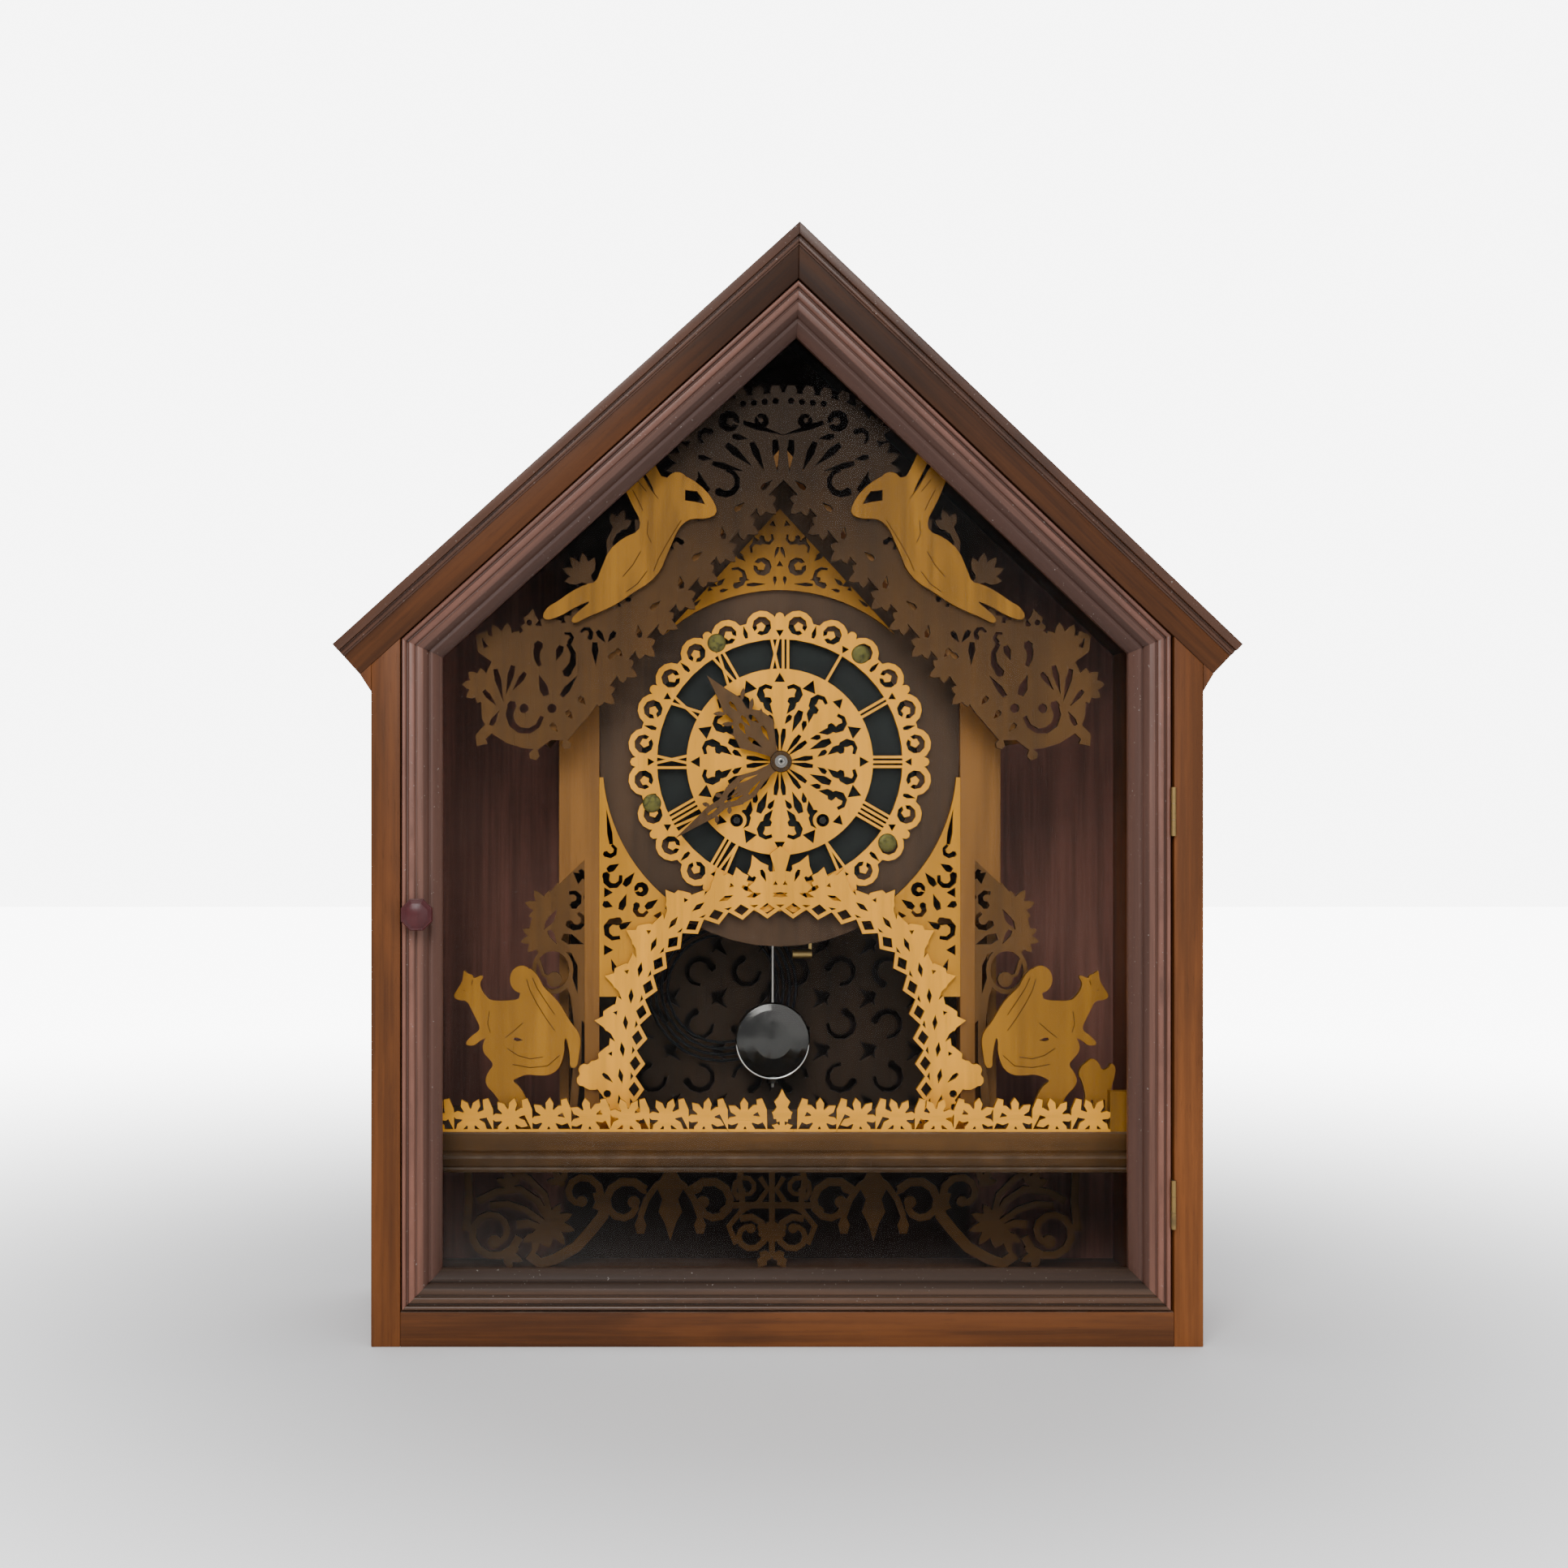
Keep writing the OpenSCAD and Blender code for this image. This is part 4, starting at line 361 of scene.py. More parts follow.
def dusty_glass(name):
    """Old thin glass: clear, glossy at a slant, with a veil of dust low on the pane."""
    paint = Paint(name)
    place = paint.place()
    height = (paint.axis(place, "Z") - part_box("door_glass")[0].z) / MM
    left = (paint.axis(place, "X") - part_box("door_glass")[0].x) / MM
    cloud = paint.noise(place, 14.0, 5.0, 0.65).ramp(0.35, 0.75)
    speck = paint.noise(place, 380.0, 2.0, 0.5).ramp(0.71, 0.77)
    wiped = paint.noise(paint.place(0.35, (6.0, 40.0, 60.0)), 1.0, 4.0, 0.6).ramp(0.45, 0.8)
    low = 1.0 - height.ramp(0.0, 26.0)
    corner = (1.0 - height.ramp(4.0, 60.0)) * (1.0 - left.ramp(40.0, 230.0))
    line = 1.0 - (height - 3.0).size().ramp(0.6, 2.2)
    veil = cloud * 0.0015 + wiped * 0.0015 + speck * 0.05 + low * 0.006 + corner * 0.012 + line * 0.16
    dust = paint.surface(Base_Color=(0.62, 0.60, 0.56, 1.0), Roughness=0.9)
    clear = paint.node("ShaderNodeBsdfTransparent", None, {"Color": (0.985, 0.99, 0.985, 1.0)}).outputs[0]
    gloss = paint.node(
        "ShaderNodeBsdfAnisotropic", None, {"Color": (1.0, 1.0, 1.0, 1.0), "Roughness": 0.06}
    ).outputs[0]
    slant = paint.node("ShaderNodeFresnel", None, {"IOR": 1.09}).outputs[0]
    pane = paint.node("ShaderNodeMixShader", None, {0: slant, 1: clear, 2: gloss}).outputs[0]
    return paint.finish(paint.node("ShaderNodeMixShader", None, {0: veil, 1: pane, 2: dust}).outputs[0])


# Lines scored on the figures, as millimetres from the middle and above the dial's centre or the shelf
FLYER_LINES = (
    ((89.3, 180.2), (84.1, 171.2), (78.9, 164.5)),
    ((92.3, 176.5), (89.5, 172.8), (86.3, 169.0)),
    ((95.0, 170.0), (91.5, 163.5), (88.5, 157.0)),
    ((64.5, 151.0), (69.5, 142.9), (74.0, 135.4), (78.9, 126.4), (81.8, 119.0)),
    ((85.3, 150.8), (85.8, 142.4), (83.3, 136.9)),
    ((90.0, 131.4), (94.8, 123.0), (101.2, 115.5)),
    ((86.0, 119.0), (92.0, 111.0), (99.0, 106.0)),
)
KNEELER_LINES = (
    ((175.9, 58.8), (170.2, 63.3), (164.6, 68.3)),
    ((162.4, 96.0), (160.1, 88.6), (155.6, 80.1), (150.0, 71.1), (144.4, 63.3)),
    ((158.6, 97.0), (155.8, 90.5), (150.6, 82.5), (144.4, 73.4)),
    ((171.4, 41.8), (160.1, 39.7), (148.9, 40.8), (141.5, 47.5)),
    ((174.7, 52.0), (168.0, 47.5), (160.1, 45.3), (152.0, 46.5)),
    ((186.1, 75.6), (187.2, 67.8), (185.5, 62.1)),
    ((202.6, 89.3), (201.6, 88.9)),
    ((197.5, 92.5), (196.8, 95.5)),
)


# Making pieces


def alone(piece):
    """Selects one piece and nothing else."""
    bpy.ops.object.select_all(action="DESELECT")
    piece.select_set(True)
    bpy.context.view_layer.objects.active = piece


def applied(piece, kind, **settings):
    """Adds a modifier with its settings and applies it."""
    alone(piece)
    modifier = piece.modifiers.new("Shape", kind)
    for key, setting in settings.items():
        setattr(modifier, key, setting)
    bpy.ops.object.modifier_apply(modifier=modifier.name)


def finished(piece, name, body, material):
    """Names a piece, gives it its finish and hangs it on its body."""
    alone(piece)
    bpy.ops.object.transform_apply(location=True, rotation=True, scale=True)
    piece.name = name
    piece.data.name = name
    piece.data.materials.clear()
    piece.data.materials.append(material)
    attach(piece, body)


def paint_nodes(material, *names):
    """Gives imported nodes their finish."""
    for name in names:
        mesh = frame["nodes"][name].data
        mesh.materials.clear()
        mesh.materials.append(material)


def eased(node, body, material, width):
    """A copy of a node with its corners eased, which stands for the node."""
    alone(frame["nodes"][node])
    bpy.ops.object.duplicate()
    piece = bpy.context.view_layer.objects.active
    bpy.ops.object.parent_clear(type="CLEAR_KEEP_TRANSFORM")
    for key in list(piece.keys()):
        del piece[key]
    bpy.ops.object.mode_set(mode="EDIT")
    bpy.ops.mesh.select_all(action="SELECT")
    bpy.ops.mesh.remove_doubles(threshold=0.01 * MM)
    bpy.ops.mesh.dissolve_limited(angle_limit=math.radians(0.5))
    bpy.ops.object.mode_set(mode="OBJECT")
    applied(
        piece, "BEVEL", width=width, segments=2, limit_method="ANGLE", angle_limit=math.radians(25),
        use_clamp_overlap=True,
    )
    bpy.ops.object.shade_smooth_by_angle(angle=math.radians(28))
    finished(piece, node + "_eased", body, material)
    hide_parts(node)


def turned(profile, place, tilt=(math.radians(90), 0, 0), sides=48):
    """A turned piece: rings of (radius, height), each extruded from the last."""
    radius, height = profile[0]
    bpy.ops.object.select_all(action="DESELECT")
    bpy.ops.mesh.primitive_circle_add(vertices=sides, radius=radius, fill_type="NGON", location=(0, 0, 0))
    piece = bpy.context.view_layer.objects.active
    bpy.ops.object.mode_set(mode="EDIT")
    bpy.ops.mesh.select_all(action="SELECT")
    bpy.ops.transform.translate(value=(0, 0, height))
    for next_radius, next_height in profile[1:]:
        bpy.ops.mesh.extrude_region_move(TRANSFORM_OT_translate={"value": (0, 0, next_height - height)})
        bpy.ops.transform.resize(value=(next_radius / radius, next_radius / radius, 1))
        radius, height = next_radius, next_height
    bpy.ops.mesh.select_all(action="SELECT")
    bpy.ops.mesh.normals_make_consistent(inside=False)
    bpy.ops.object.mode_set(mode="OBJECT")
    piece.rotation_euler = tilt
    piece.location = place
    bpy.ops.object.transform_apply(location=True, rotation=True, scale=True)
    bpy.ops.object.shade_smooth_by_angle(angle=math.radians(35))
    return piece


def scored(points, width):
    """A fine line along points, as a needle or a blade leaves it on the wood's face."""
    bpy.ops.object.select_all(action="DESELECT")
    first = Vector(points[0])
    bpy.ops.mesh.primitive_plane_add(size=MM, location=first)
    piece = bpy.context.view_layer.objects.active
    bpy.ops.object.mode_set(mode="EDIT")
    bpy.ops.mesh.select_all(action="SELECT")
    bpy.ops.mesh.merge(type="CENTER")
    last = first
    for point in points[1:]:
        bpy.ops.mesh.extrude_vertices_move(TRANSFORM_OT_translate={"value": Vector(point) - last})
        last = Vector(point)
    bpy.ops.object.mode_set(mode="OBJECT")
    bpy.ops.object.convert(target="CURVE")
    piece = bpy.context.view_layer.objects.active
    piece.data.bevel_depth = width / 2
    piece.data.bevel_resolution = 1
    piece.data.use_fill_caps = True
    bpy.ops.object.convert(target="MESH")
    return bpy.context.view_layer.objects.active


def joined(pieces):
    """Several pieces made one."""
    alone(pieces[0])
    for piece in pieces[1:]:
        piece.select_set(True)
    bpy.ops.object.join()
    return bpy.context.view_layer.objects.active


# Settings


class FinishSettings(bpy.types.PropertyGroup):
    case: bpy.props.FloatVectorProperty(
        name="Case", description="Colour of the case's boards", subtype="COLOR", size=4,
        min=0, max=1, default=(0.134, 0.042, 0.009, 1.0))
    moulding: bpy.props.FloatVectorProperty(
        name="Mouldings", description="Colour of the door's mouldings", subtype="COLOR", size=4,
        min=0, max=1, default=(0.160, 0.067, 0.043, 1.0))
    cover: bpy.props.FloatVectorProperty(
        name="Roof covers", description="Colour of the moulded boards on the roof", subtype="COLOR", size=4,
        min=0, max=1, default=(0.050, 0.018, 0.007, 1.0))
    fretwood: bpy.props.FloatVectorProperty(
        name="Fretwood", description="Colour of the golden sawn wood", subtype="COLOR", size=4,
        min=0, max=1, default=(0.86, 0.37, 0.022, 1.0))
    # The shaded fretwood is partly a browner wood and partly painted shade further back in the case
    shaded_fretwood: bpy.props.FloatVectorProperty(
        name="Shaded fretwood", description="Colour of the browner sawn wood further back", subtype="COLOR",
        size=4, min=0, max=1, default=(0.150, 0.065, 0.013, 1.0))
    posts: bpy.props.FloatVectorProperty(
        name="Posts", description="Colour of the small house's posts and the shelf", subtype="COLOR",
        size=4, min=0, max=1, default=(0.215, 0.092, 0.019, 1.0))
    dial_board: bpy.props.FloatVectorProperty(
        name="Dial board", description="Colour of the board behind the dial", subtype="COLOR", size=4,
        min=0, max=1, default=(0.058, 0.030, 0.014, 1.0))
    back: bpy.props.FloatVectorProperty(
        name="Back", description="Colour of the back board", subtype="COLOR", size=4,
        min=0, max=1, default=(0.185, 0.076, 0.054, 1.0))
    slate: bpy.props.FloatVectorProperty(
        name="Dial ground", description="Colour of the sheet behind the numerals", subtype="COLOR", size=4,
        min=0, max=1, default=(0.0075, 0.010, 0.009, 1.0))
    knob: bpy.props.FloatVectorProperty(
        name="Knob", description="Colour of the door's knob", subtype="COLOR", size=4,
        min=0, max=1, default=(0.070, 0.011, 0.013, 1.0))
    ease: bpy.props.FloatProperty(
        name="Eased corners", description="How far the boards' corners are rounded", subtype="DISTANCE",
        unit="LENGTH", min=0.0001, max=0.002, default=0.0006)


class SmallPartSettings(bpy.types.PropertyGroup):
    tack_radius: bpy.props.FloatProperty(
        name="Tack head", description="Radius of the tacks' heads on the dial", subtype="DISTANCE",
        unit="LENGTH", min=0.003, max=0.007, default=0.0060)
    collar_radius: bpy.props.FloatProperty(
        name="Hand collar", description="Radius of the collar over the hands", subtype="DISTANCE",
        unit="LENGTH", min=0.004, max=0.009, default=0.0070)
    tip_radius: bpy.props.FloatProperty(
        name="Arbor tip", description="Radius of the bright tip in the collar", subtype="DISTANCE",
        unit="LENGTH", min=0.001, max=0.004, default=0.0021)
    rim_width: bpy.props.FloatProperty(
        name="Bob rim", description="Width of the rolled rim round the bob", subtype="DISTANCE",
        unit="LENGTH", min=0.0005, max=0.003, default=0.0017)
    line_width: bpy.props.FloatProperty(
        name="Scored lines", description="Width of the lines scored on the figures", subtype="DISTANCE",
        unit="LENGTH", min=0.0001, max=0.001, default=0.0006)


class StageSettings(bpy.types.PropertyGroup):
    camera_place: bpy.props.FloatVectorProperty(
        name="Camera", description="Where the camera stands", subtype="TRANSLATION", unit="LENGTH",
        default=(-0.110, -1.330, 0.330))
    lens: bpy.props.FloatProperty(
        name="Lens", description="Focal length in millimetres", min=20, max=120, default=46.58)
    shift: bpy.props.FloatVectorProperty(
        name="Shift", description="Shift of the frame to the right and up", size=2,
        default=(0.1118, 0.0176))
    key_power: bpy.props.FloatProperty(
        name="Key light", description="Power of the light in front and above", subtype="POWER",
        unit="POWER", min=0, max=500, default=46.0)
    fill_power: bpy.props.FloatProperty(
        name="Fill light", description="Power of the wide light in front", subtype="POWER",
        unit="POWER", min=0, max=500, default=16.0)
    sky: bpy.props.FloatProperty(
        name="Surroundings", description="Strength of the light from all round", min=0, max=2, default=0.6)
    ground: bpy.props.FloatProperty(
        name="Ground", description="Brightness of the ground behind the clock", min=0, max=20, default=9.0)
    glow: bpy.props.FloatProperty(
        name="Far floor", description="Brightness that the floor gains away from the clock", min=0, max=20,
        default=8.6)
    floor: bpy.props.FloatVectorProperty(
        name="Floor", description="Colour of the floor", subtype="COLOR", size=4,
        min=0, max=1, default=(0.90, 0.90, 0.895, 1.0))


# Operators


class FRETCLOCK_OT_case(bpy.types.Operator):
    """Finishes the case: its sides, floor, back, roof and eaves"""

    bl_idname = "fretclock.case"
    bl_label = "Case"

    def execute(self, context):
        look = context.scene.fretclock_finish
        # The right board is a lighter copy of the case wood: painted light
        sides = {
            side: wood("Case wood " + side, tone, ALONG_Z, contrast=0.75, figure=1.3, **BOARD)
            for side, tone in (("left", look.case), ("right", shade(look.case, 1.3)))
        }
        # The bottom board is a darker copy of the case wood: painted shade
        level = wood("Case wood level", shade(look.case, 0.85), ALONG_X, contrast=0.8, figure=1.2, **BOARD)
        # Painted shade: the roof boards are a darker copy of the case wood, darker again towards the ridge
        slope = shade(look.case, 0.5)
        shade_by_height = (RIDGE.z - 170 * MM, RIDGE.z - 30 * MM, 0.6)
        left = wood("Case wood left slope", slope, RAKE_LEFT, height_shade=shade_by_height, **SLOPE)
        right = wood("Case wood right slope", slope, -RAKE_RIGHT, height_shade=shade_by_height, **SLOPE)
        for side, grain in sides.items():
            eased("case_side_" + side, "case", grain, look.ease)
        eased("case_bottom", "case", level, look.ease)
        eased("roof_board_left", "case", left, look.ease)
        eased("roof_board_right", "case", right, look.ease)
        for side, turn in (("left", RAKE_LEFT), ("right", -RAKE_RIGHT)):
            cover = moulding_wood("Cover " + side, look.cover, turn)
            eased("roof_cover_" + side, "case", cover, COVER_EASE)
        paint_nodes(sides["left"], "eave_moulds")
        # Painted shade on the back board: darker towards the roof, and in the middle behind the small house
        shade_by_height = (EAVE_FOOT, RIDGE.z - 130 * MM, 0.9)
        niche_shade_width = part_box("house_sides")[1].x
        back = wood(
            "Back wood", look.back, ALONG_Z, gloss=0.55, contrast=0.7, figure=1.2, dust=0.1, height_shade=shade_by_height,
            niche_shade_width=niche_shade_width,
        )
        paint_nodes(back, "case_back")
        return {"FINISHED"}


class FRETCLOCK_OT_door(bpy.types.Operator):
    """Finishes the door: its mitred mouldings, glass, beads, knob and hinges"""

    bl_idname = "fretclock.door"
    bl_label = "Door"

    def execute(self, context):
        look = context.scene.fretclock_finish
        turns = {
            "door_stile_left": ALONG_Z, "door_stile_right": ALONG_Z, "door_rail": ALONG_X,
            "door_rafter_left": RAKE_LEFT, "door_rafter_right": -RAKE_RIGHT,
        }
        # The rafters are darker copies of the moulding: painted shade under the roof covers. The rail gets a
        # darker, browner colour
        darker_members = {
            "door_rail": (0.058, 0.026, 0.011, 1.0),
            "door_rafter_left": shade(look.moulding, 0.72),
            "door_rafter_right": shade(look.moulding, 0.72),
        }
        for node, turn in turns.items():
            stain = darker_members.get(node, look.moulding)
            material = moulding_wood("Moulding " + node, stain, turn)
            eased(node, "door", material, DOOR_EASE)
        paint_nodes(moulding_wood("Glazing bead wood", look.moulding, ALONG_X), "glazing_beads")
        paint_nodes(dusty_glass("Door glass"), "door_glass")
        self.knob(look)
        brass = metal(
            "Hinge brass", (0.32, 0.21, 0.08, 1.0), rough=0.36, stain=(0.05, 0.04, 0.025, 1.0), stained=0.6
        )
        paint_nodes(brass, "hinge_door_leaves", "hinge_case_leaves")
        paint_nodes(metal("Hinge pin steel", (0.4, 0.39, 0.37, 1.0), rough=0.35), "hinge_pins")
        return {"FINISHED"}

    def knob(self, look):
        """An eight-sided knob with a waist and a low dome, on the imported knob's place."""
        low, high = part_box("door_knob")
        middle = (low + high) / 2
        radius = (high.z - low.z) / 2 / math.cos(math.radians(22.5))
        out = high.y - low.y
        shares = [
            (0.58, 0.0), (0.54, 0.12), (0.46, 0.3), (0.62, 0.4), (0.98, 0.56), (1.0, 0.62), (1.0, 0.72),
            (0.93, 0.79), (0.9, 0.78), (0.72, 0.9), (0.42, 0.98), (0.1, 1.0),
        ]
        profile = [(radius * r, out * h) for r, h in shares]
        piece = turned(profile, (middle.x, high.y, middle.z), (math.radians(90), math.radians(22.5), 0), 8)
        applied(
            piece, "BEVEL", width=0.5 * MM, segments=2, limit_method="ANGLE", angle_limit=math.radians(18)
        )
        bpy.ops.object.shade_smooth_by_angle(angle=math.radians(30))
        material = wood(
            "Knob stain", look.knob, ALONG_Z, gloss=0.3, contrast=0.4, figure=1.5, dust=0.2, coat=0.3
        )
        finished(piece, "door_knob_turned", "door", material)
        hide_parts("door_knob")


class FRETCLOCK_OT_shelf(bpy.types.Operator):
    """Finishes the shelf, its moulding, the leaf border and the apron"""

    bl_idname = "fretclock.shelf"
    bl_label = "Shelf"

    def execute(self, context):
        look = context.scene.fretclock_finish
        brown = shade(look.posts, 0.42)
        low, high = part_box("shelf_edge")
        # Painted shade: the shelf edge darkens towards its foot
        foot = (high.z - 5 * MM, low.z - 6 * MM, 0.6)
        edge = wood(
            "Shelf edge wood", brown, ALONG_X, gloss=0.5, contrast=0.6, figure=1.2, dust=0.3, height_shade=foot
        )
        eased("shelf_edge", "case", edge, COVER_EASE)
        paint_nodes(wood("Shelf wood", brown, ALONG_X, gloss=0.55, dust=0.2, **HOUSE), "shelf_board")
        border = wood("Border fretwood", look.fretwood, ALONG_X, **{**GOLDEN, "figure": 1.4})
        paint_nodes(border, "gallery")
        # The end block is a darker copy of the border's fretwood: painted shade from the door's stile
        block = wood("End block wood", shade(look.fretwood, 0.35), ALONG_Z, gloss=0.5, figure=1.4)
        paint_nodes(block, "end_block")
        finer = {**SHADED, "contrast": 0.35, "figure": 1.4}
        # The apron is a darker copy of the shaded fretwood: painted shade under the shelf
        apron = wood("Apron fretwood", shade(look.shaded_fretwood, 0.6), ALONG_X, **finer)
        paint_nodes(apron, "pelmet")
        return {"FINISHED"}


class FRETCLOCK_OT_house(bpy.types.Operator):
    """Finishes the small house round the dial"""

    bl_idname = "fretclock.house"
    bl_label = "House"

    def execute(self, context):
        look = context.scene.fretclock_finish
        upright = wood("Post wood", look.posts, ALONG_Z, gloss=0.5, contrast=0.4, figure=1.2, dust=0.2)
        eased("posts", "case", upright, POST_EASE)
        paint_nodes(upright, "house_sides")
        roof = wood("House roof wood", look.posts, ALONG_X, gloss=0.55, dust=0.4, **HOUSE)
        paint_nodes(roof, "house_roof")
        paint_nodes(wood("Dial board wood", look.dial_board, ALONG_Z, dust=0.1), "face_board")
        # The back fret is a darker copy of the dial board: painted shade inside the small house
        deep = wood("Back fretwood", shade(look.dial_board, 0.5), ALONG_Z, gloss=0.6, dull=0.7)
        paint_nodes(deep, "back_fret")
        # Painted shade: the gable fret is a darker copy of the shaded fretwood, darker again towards the
        # crest
        shade_by_height = (GABLE_TOP - 225 * MM, GABLE_TOP - 15 * MM, 0.93)
        gable = wood("Gable fretwood", shade(look.shaded_fretwood, 0.62), ALONG_Z, height_shade=shade_by_height, **SHADED)
        paint_nodes(gable, "gable_fret_left", "gable_fret_right")
        # The brackets are a darker copy of the shaded fretwood: painted shade
        bracket = wood("Bracket fretwood", shade(look.shaded_fretwood, 0.72), ALONG_Z, **SHADED)
        paint_nodes(bracket, "brackets")
        # Painted shade: the upper spandrel is a darker copy of the golden fretwood, darker again towards its
        # top
        shade_by_height = (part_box("upper_spandrel")[0].z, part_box("upper_spandrel")[1].z, 0.75)
        peak = wood("Upper spandrel fretwood", shade(look.fretwood, 0.42), ALONG_Z, height_shade=shade_by_height, **GOLDEN)
        paint_nodes(peak, "upper_spandrel")
        golden = wood("Lower spandrel fretwood", shade(look.fretwood, 0.6), ALONG_Z, **GOLDEN)
        paint_nodes(golden, "lower_spandrels")
        bright = wood("Arch fretwood", look.fretwood, ALONG_Z, **GOLDEN)
        paint_nodes(bright, "arch_fret")
        return {"FINISHED"}


class FRETCLOCK_OT_dial(bpy.types.Operator):
    """Finishes the dial and adds its tacks, the hands' collar and the arbor's tip"""

    bl_idname = "fretclock.dial"
    bl_label = "Dial and hands"

    def execute(self, context):
        look = context.scene.fretclock_finish
        sizes = context.scene.fretclock_small
        face = wood("Dial fretwood", look.fretwood, ALONG_Z, gloss=0.5, contrast=0.26, dull=0.75)
        paint_nodes(face, "dial_fret")
        paint_nodes(slate_paint("Dial ground", look.slate), "dial_plate")
        brown = (0.085, 0.04, 0.011, 1.0)
        hand = wood("Hand wood", brown, ALONG_Z, gloss=0.4, figure=1.5, dust=0.1, coat=0.1, dull=0.5)
        paint_nodes(hand, "minute_hand", "hour_hand")
        self.tacks(sizes)
        self.hub(sizes)
        paint_nodes(metal("Arbor steel", (0.2, 0.19, 0.18, 1.0), rough=0.3), "centre_arbor")
        blued = metal(
            "Winding square steel", (0.035, 0.033, 0.03, 1.0), rough=0.25, stain=(0.01, 0.01, 0.01, 1.0),
            stained=0.4, scale=300.0,
        )
        paint_nodes(blued, "time_arbor", "strike_arbor")
        return {"FINISHED"}

    def tacks(self, sizes):
        """Domed brass tacks, dull with age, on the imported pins' places."""
        mesh = frame["nodes"]["dial_pins"].data
        front = min(v.co.y for v in mesh.vertices)
        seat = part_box("dial_fret")[0].y
        heads = [v.co for v in mesh.vertices if v.co.y < front + 0.1 * MM]
        places = []
        for head in heads:
            near = [p for p in places if (p[0] - head).length < 3 * sizes.tack_radius]
            if near:
                near[0][1].append(head)
            else:
                places.append((head.copy(), [head]))
        radius, rise = sizes.tack_radius, seat - front
        dome = [(1.0, 0.0), (0.96, 0.25), (0.82, 0.6), (0.55, 0.88), (0.2, 1.0)]
        profile = [(radius * r, rise * h) for r, h in dome]
        tacks = []
        for _, ring in places:
            centre = sum(ring, Vector()) / len(ring)
            tacks.append(turned(profile, (centre.x, seat, centre.z), sides=24))
        piece = joined(tacks)
        stain = metal(
            "Tack brass", (0.15, 0.135, 0.04, 1.0), rough=0.5, stain=(0.07, 0.066, 0.026, 1.0),
            stained=0.9, scale=420.0,
        )
        finished(piece, "dial_tacks", "case", stain)
        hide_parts("dial_pins")

    def hub(self, sizes):
        """A dark collar over the hands and the bright tip of the arbor in it."""
        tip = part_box("centre_arbor")[0].y
        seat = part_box("minute_hand")[0].y
        rise = seat - tip
        collar = [(1.0, 0.0), (1.0, 0.3), (0.94, 0.48), (0.62, 0.58), (0.36, 0.5), (0.3, 0.62), (0.2, 0.66)]
        profile = [(sizes.collar_radius * r, rise * h) for r, h in collar]
        piece = turned(profile, (DIAL.x, seat, DIAL.z), sides=40)
        stain = metal(
            "Collar bronze", (0.07, 0.04, 0.02, 1.0), rough=0.4, stain=(0.02, 0.014, 0.01, 1.0),
            stained=0.6, scale=300.0,
        )
        finished(piece, "hand_collar", "minute_hand", stain)
        bead = [(1.0, 0.5), (1.0, 0.84), (0.82, 0.95), (0.4, 1.0)]
        profile = [(sizes.tip_radius * r, rise * h) for r, h in bead]
        piece = turned(profile, (DIAL.x, seat, DIAL.z), sides=24)
        steel = metal(
            "Arbor tip steel", (0.6, 0.57, 0.5, 1.0), rough=0.22, stain=(0.2, 0.17, 0.12, 1.0), scale=400.0
        )
        finished(piece, "arbor_tip", "minute_hand", steel)


class FRETCLOCK_OT_figures(bpy.types.Operator):
    """Finishes the sawn figures and scores the lines on them"""

    bl_idname = "fretclock.figures"
    bl_label = "Figures"

    def execute(self, context):
        look = context.scene.fretclock_finish
        tone = shade(look.fretwood, 0.3)
        upper = wood("Flying figure wood", tone, ALONG_Z, gloss=0.5, contrast=0.55, figure=2.4, dull=0.6)
        paint_nodes(upper, "flyer_left", "flyer_right")
        tone = shade(look.fretwood, 0.38)
        lower = wood("Kneeling figure wood", tone, ALONG_Z, gloss=0.5, contrast=0.4, figure=1.6, dull=0.75)
        paint_nodes(lower, "kneeler_left", "kneeler_right", "lamb")
        width = context.scene.fretclock_small.line_width
        line = wood("Scored line", shade(look.fretwood, 0.1), ALONG_Z, gloss=0.7, contrast=0.4, figure=2.0)
        self.score("flyer", DIAL.z, FLYER_LINES, width, line)
        self.score("kneeler", SHELF_TOP, KNEELER_LINES, width, line)
        return {"FINISHED"}

    def score(self, figure, base, lines, width, material):
        """Folds, feathers and hair scored on the face of both figures of a pair."""
        for side, hand in (("left", -1), ("right", 1)):
            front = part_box(figure + "_" + side)[0].y
            marks = [
                scored([(hand * across * MM, front, base + up * MM) for across, up in line], width)
                for line in lines
            ]
            finished(joined(marks), figure + "_lines_" + side, "case", material)


class FRETCLOCK_OT_movement(bpy.types.Operator):
    """Finishes the movement, its seat, the hammer and the gong"""

    bl_idname = "fretclock.movement"
    bl_label = "Movement"

    def execute(self, context):
        look = context.scene.fretclock_finish
        brass = metal(
            "Plate brass", (0.42, 0.29, 0.11, 1.0), rough=0.35, stain=(0.1, 0.07, 0.03, 1.0), stained=0.5
        )
        paint_nodes(brass, "movement_plates", "movement_pillars", "time_barrel", "strike_barrel", "hammer")
        paint_nodes(metal("Verge steel", (0.38, 0.37, 0.35, 1.0), rough=0.32), "verge")
        blued = metal(
            "Gong steel", (0.018, 0.018, 0.02, 1.0), rough=0.5, stain=(0.012, 0.009, 0.007, 1.0), stained=0.5
        )
        paint_nodes(blued, "gong")
        paint_nodes(wood("Seat wood", look.posts, ALONG_X, gloss=0.6, figure=1.2, dust=0.3), "seat_board")
        return {"FINISHED"}


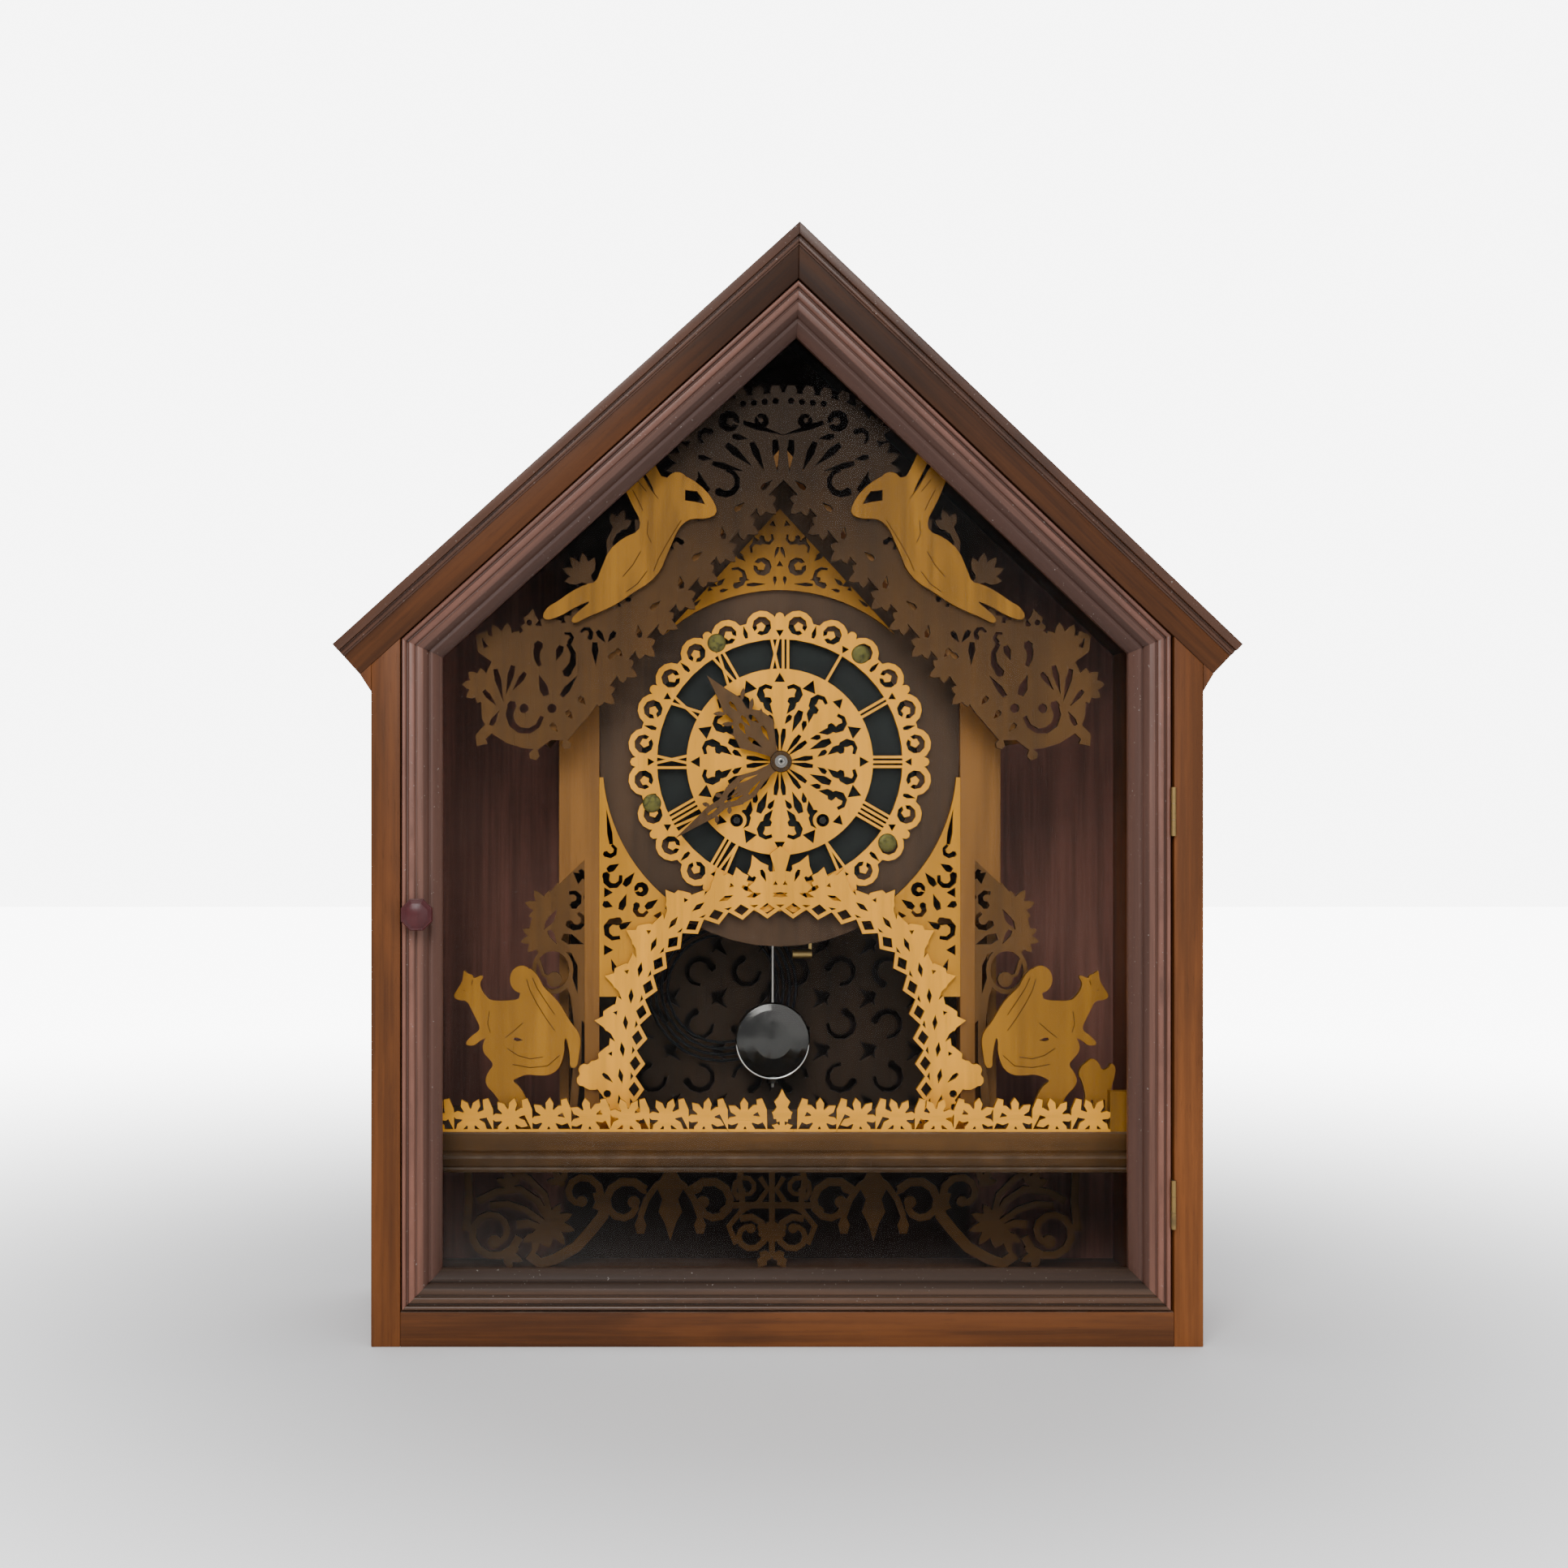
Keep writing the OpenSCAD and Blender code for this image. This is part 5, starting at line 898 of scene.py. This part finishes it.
class FRETCLOCK_OT_pendulum(bpy.types.Operator):
    """Finishes the pendulum and puts a bright rolled rim round its bob"""

    bl_idname = "fretclock.pendulum"
    bl_label = "Pendulum"

    def execute(self, context):
        # The bob's near-black colour is a painted reflection of a dark room in its bright plating
        dark = metal(
            "Bob plating", (0.06, 0.058, 0.055, 1.0), rough=0.09, stain=(0.03, 0.028, 0.025, 1.0),
            stained=0.12,
        )
        paint_nodes(dark, "pendulum_bob")
        self.rim(context.scene.fretclock_small)
        paint_nodes(metal("Rod steel", (0.42, 0.4, 0.37, 1.0), rough=0.3), "pendulum_rod")
        return {"FINISHED"}

    def rim(self, sizes):
        """A rolled rim round the bob, a little flatter than it is wide."""
        low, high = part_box("pendulum_bob")
        radius = (high.x - low.x) / 2
        middle = (low + high) / 2
        bpy.ops.object.select_all(action="DESELECT")
        bpy.ops.mesh.primitive_torus_add(
            major_segments=96, minor_segments=12, major_radius=radius - sizes.rim_width / 2,
            minor_radius=sizes.rim_width / 2, location=middle, rotation=(math.radians(90), 0, 0),
        )
        piece = bpy.context.view_layer.objects.active
        bpy.ops.object.mode_set(mode="EDIT")
        bpy.ops.transform.resize(value=(1.0, 1.6, 1.0))
        bpy.ops.object.mode_set(mode="OBJECT")
        bpy.ops.object.shade_smooth()
        bright = metal(
            "Rim plating", (0.86, 0.85, 0.82, 1.0), rough=0.12, stain=(0.3, 0.28, 0.25, 1.0),
            stained=0.2, scale=120.0,
        )
        finished(piece, "bob_rim", "pendulum", bright)


class FRETCLOCK_OT_stage(bpy.types.Operator):
    """Sets the floor, the lights and the camera"""

    bl_idname = "fretclock.stage"
    bl_label = "Stage"

    def execute(self, context):
        stage = context.scene.fretclock_stage
        self.floor(stage)
        for name, place, size, power in LAMPS:
            self.lamp(name, place, size, getattr(stage, power))
        world = bpy.data.worlds.new("Studio")
        world.use_nodes = True
        self.sky(world.node_tree, stage)
        context.scene.world = world
        self.camera(context, stage)
        return {"FINISHED"}

    def sky(self, tree, stage):
        """Soft light from all round, before a white ground."""
        light = tree.nodes["Background"]
        light.inputs["Color"].default_value = (0.95, 0.96, 1.0, 1.0)
        light.inputs["Strength"].default_value = stage.sky
        ground = tree.nodes.new("ShaderNodeBackground")
        ground.inputs["Strength"].default_value = stage.ground
        path = tree.nodes.new("ShaderNodeLightPath")
        mixed = tree.nodes.new("ShaderNodeMixShader")
        tree.links.new(path.outputs["Is Camera Ray"], mixed.inputs[0])
        tree.links.new(light.outputs[0], mixed.inputs[1])
        tree.links.new(ground.outputs[0], mixed.inputs[2])
        tree.links.new(mixed.outputs[0], tree.nodes["World Output"].inputs["Surface"])

    def floor(self, stage):
        """A pale floor that brightens to the ground's white away from the clock."""
        bpy.ops.object.select_all(action="DESELECT")
        bpy.ops.mesh.primitive_plane_add(size=FLOOR_SIZE, location=(0, 1.2, 0))
        floor = bpy.context.view_layer.objects.active
        floor.name = "floor"
        bpy.ops.object.transform_apply(location=True, rotation=False, scale=False)
        paint = Paint("Floor")
        grain = paint.noise(paint.place(), 3.0, 3.0, 0.5)
        colour = paint.blend(grain, shade(stage.floor, 0.985), stage.floor)
        place = paint.place()
        across = paint.axis(place, "X")
        along = paint.axis(place, "Y")
        away = ((across * across + along * along) ** 0.5).ramp(0.25, 1.9)
        seen = Value(paint, paint.node("ShaderNodeLightPath").outputs["Is Camera Ray"])
        glow = paint.blend(away * seen, (0.0, 0.0, 0.0, 1.0), (1.0, 1.0, 1.0, 1.0))
        pale = paint.surface(
            Base_Color=colour, Roughness=0.85, Emission_Color=glow, Emission_Strength=stage.glow
        )
        floor.data.materials.append(paint.finish(pale))

    def lamp(self, name, place, size, power):
        bpy.ops.object.light_add(type="AREA", location=place)
        lamp = bpy.context.view_layer.objects.active
        lamp.name = name
        lamp.data.size = size
        lamp.data.energy = power
        aim = Vector((0, 0, 0.34)) - Vector(place)
        lamp.rotation_euler = aim.to_track_quat("-Z", "Y").to_euler()

    def camera(self, context, stage):
        bpy.ops.object.camera_add(location=stage.camera_place, rotation=(math.radians(90), 0, 0))
        camera = bpy.context.view_layer.objects.active
        camera.name = "Camera"
        camera.data.lens = stage.lens
        camera.data.sensor_width = 36
        camera.data.shift_x = stage.shift[0]
        camera.data.shift_y = stage.shift[1]
        camera.data.dof.use_dof = False
        context.scene.camera = camera


STEPS = (
    FRETCLOCK_OT_case, FRETCLOCK_OT_door, FRETCLOCK_OT_shelf, FRETCLOCK_OT_house, FRETCLOCK_OT_dial,
    FRETCLOCK_OT_figures, FRETCLOCK_OT_movement, FRETCLOCK_OT_pendulum, FRETCLOCK_OT_stage,
)


class FRETCLOCK_PT_steps(bpy.types.Panel):
    bl_idname = "FRETCLOCK_PT_steps"
    bl_label = "Fretwork Clock"
    bl_space_type = "VIEW_3D"
    bl_region_type = "UI"
    bl_category = "Fretwork Clock"

    def draw(self, context):
        for step in STEPS:
            self.layout.operator(step.bl_idname)
        scene = context.scene
        for group in (scene.fretclock_finish, scene.fretclock_small, scene.fretclock_stage):
            box = self.layout.box()
            for name in group.bl_rna.properties.keys():
                if name not in ("rna_type", "name"):
                    box.prop(group, name)


CLASSES = (FinishSettings, SmallPartSettings, StageSettings) + STEPS + (FRETCLOCK_PT_steps,)


def register():
    for cls in CLASSES:
        bpy.utils.register_class(cls)
    bpy.types.Scene.fretclock_finish = bpy.props.PointerProperty(type=FinishSettings)
    bpy.types.Scene.fretclock_small = bpy.props.PointerProperty(type=SmallPartSettings)
    bpy.types.Scene.fretclock_stage = bpy.props.PointerProperty(type=StageSettings)


def unregister():
    del bpy.types.Scene.fretclock_finish
    del bpy.types.Scene.fretclock_small
    del bpy.types.Scene.fretclock_stage
    for cls in reversed(CLASSES):
        bpy.utils.unregister_class(cls)


def main():
    """Registers the add-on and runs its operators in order."""
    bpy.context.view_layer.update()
    register()
    bpy.ops.fretclock.case()
    bpy.ops.fretclock.door()
    bpy.ops.fretclock.shelf()
    bpy.ops.fretclock.house()
    bpy.ops.fretclock.dial()
    bpy.ops.fretclock.figures()
    bpy.ops.fretclock.movement()
    bpy.ops.fretclock.pendulum()
    bpy.ops.fretclock.stage()


if __name__ == "__main__":
    main()
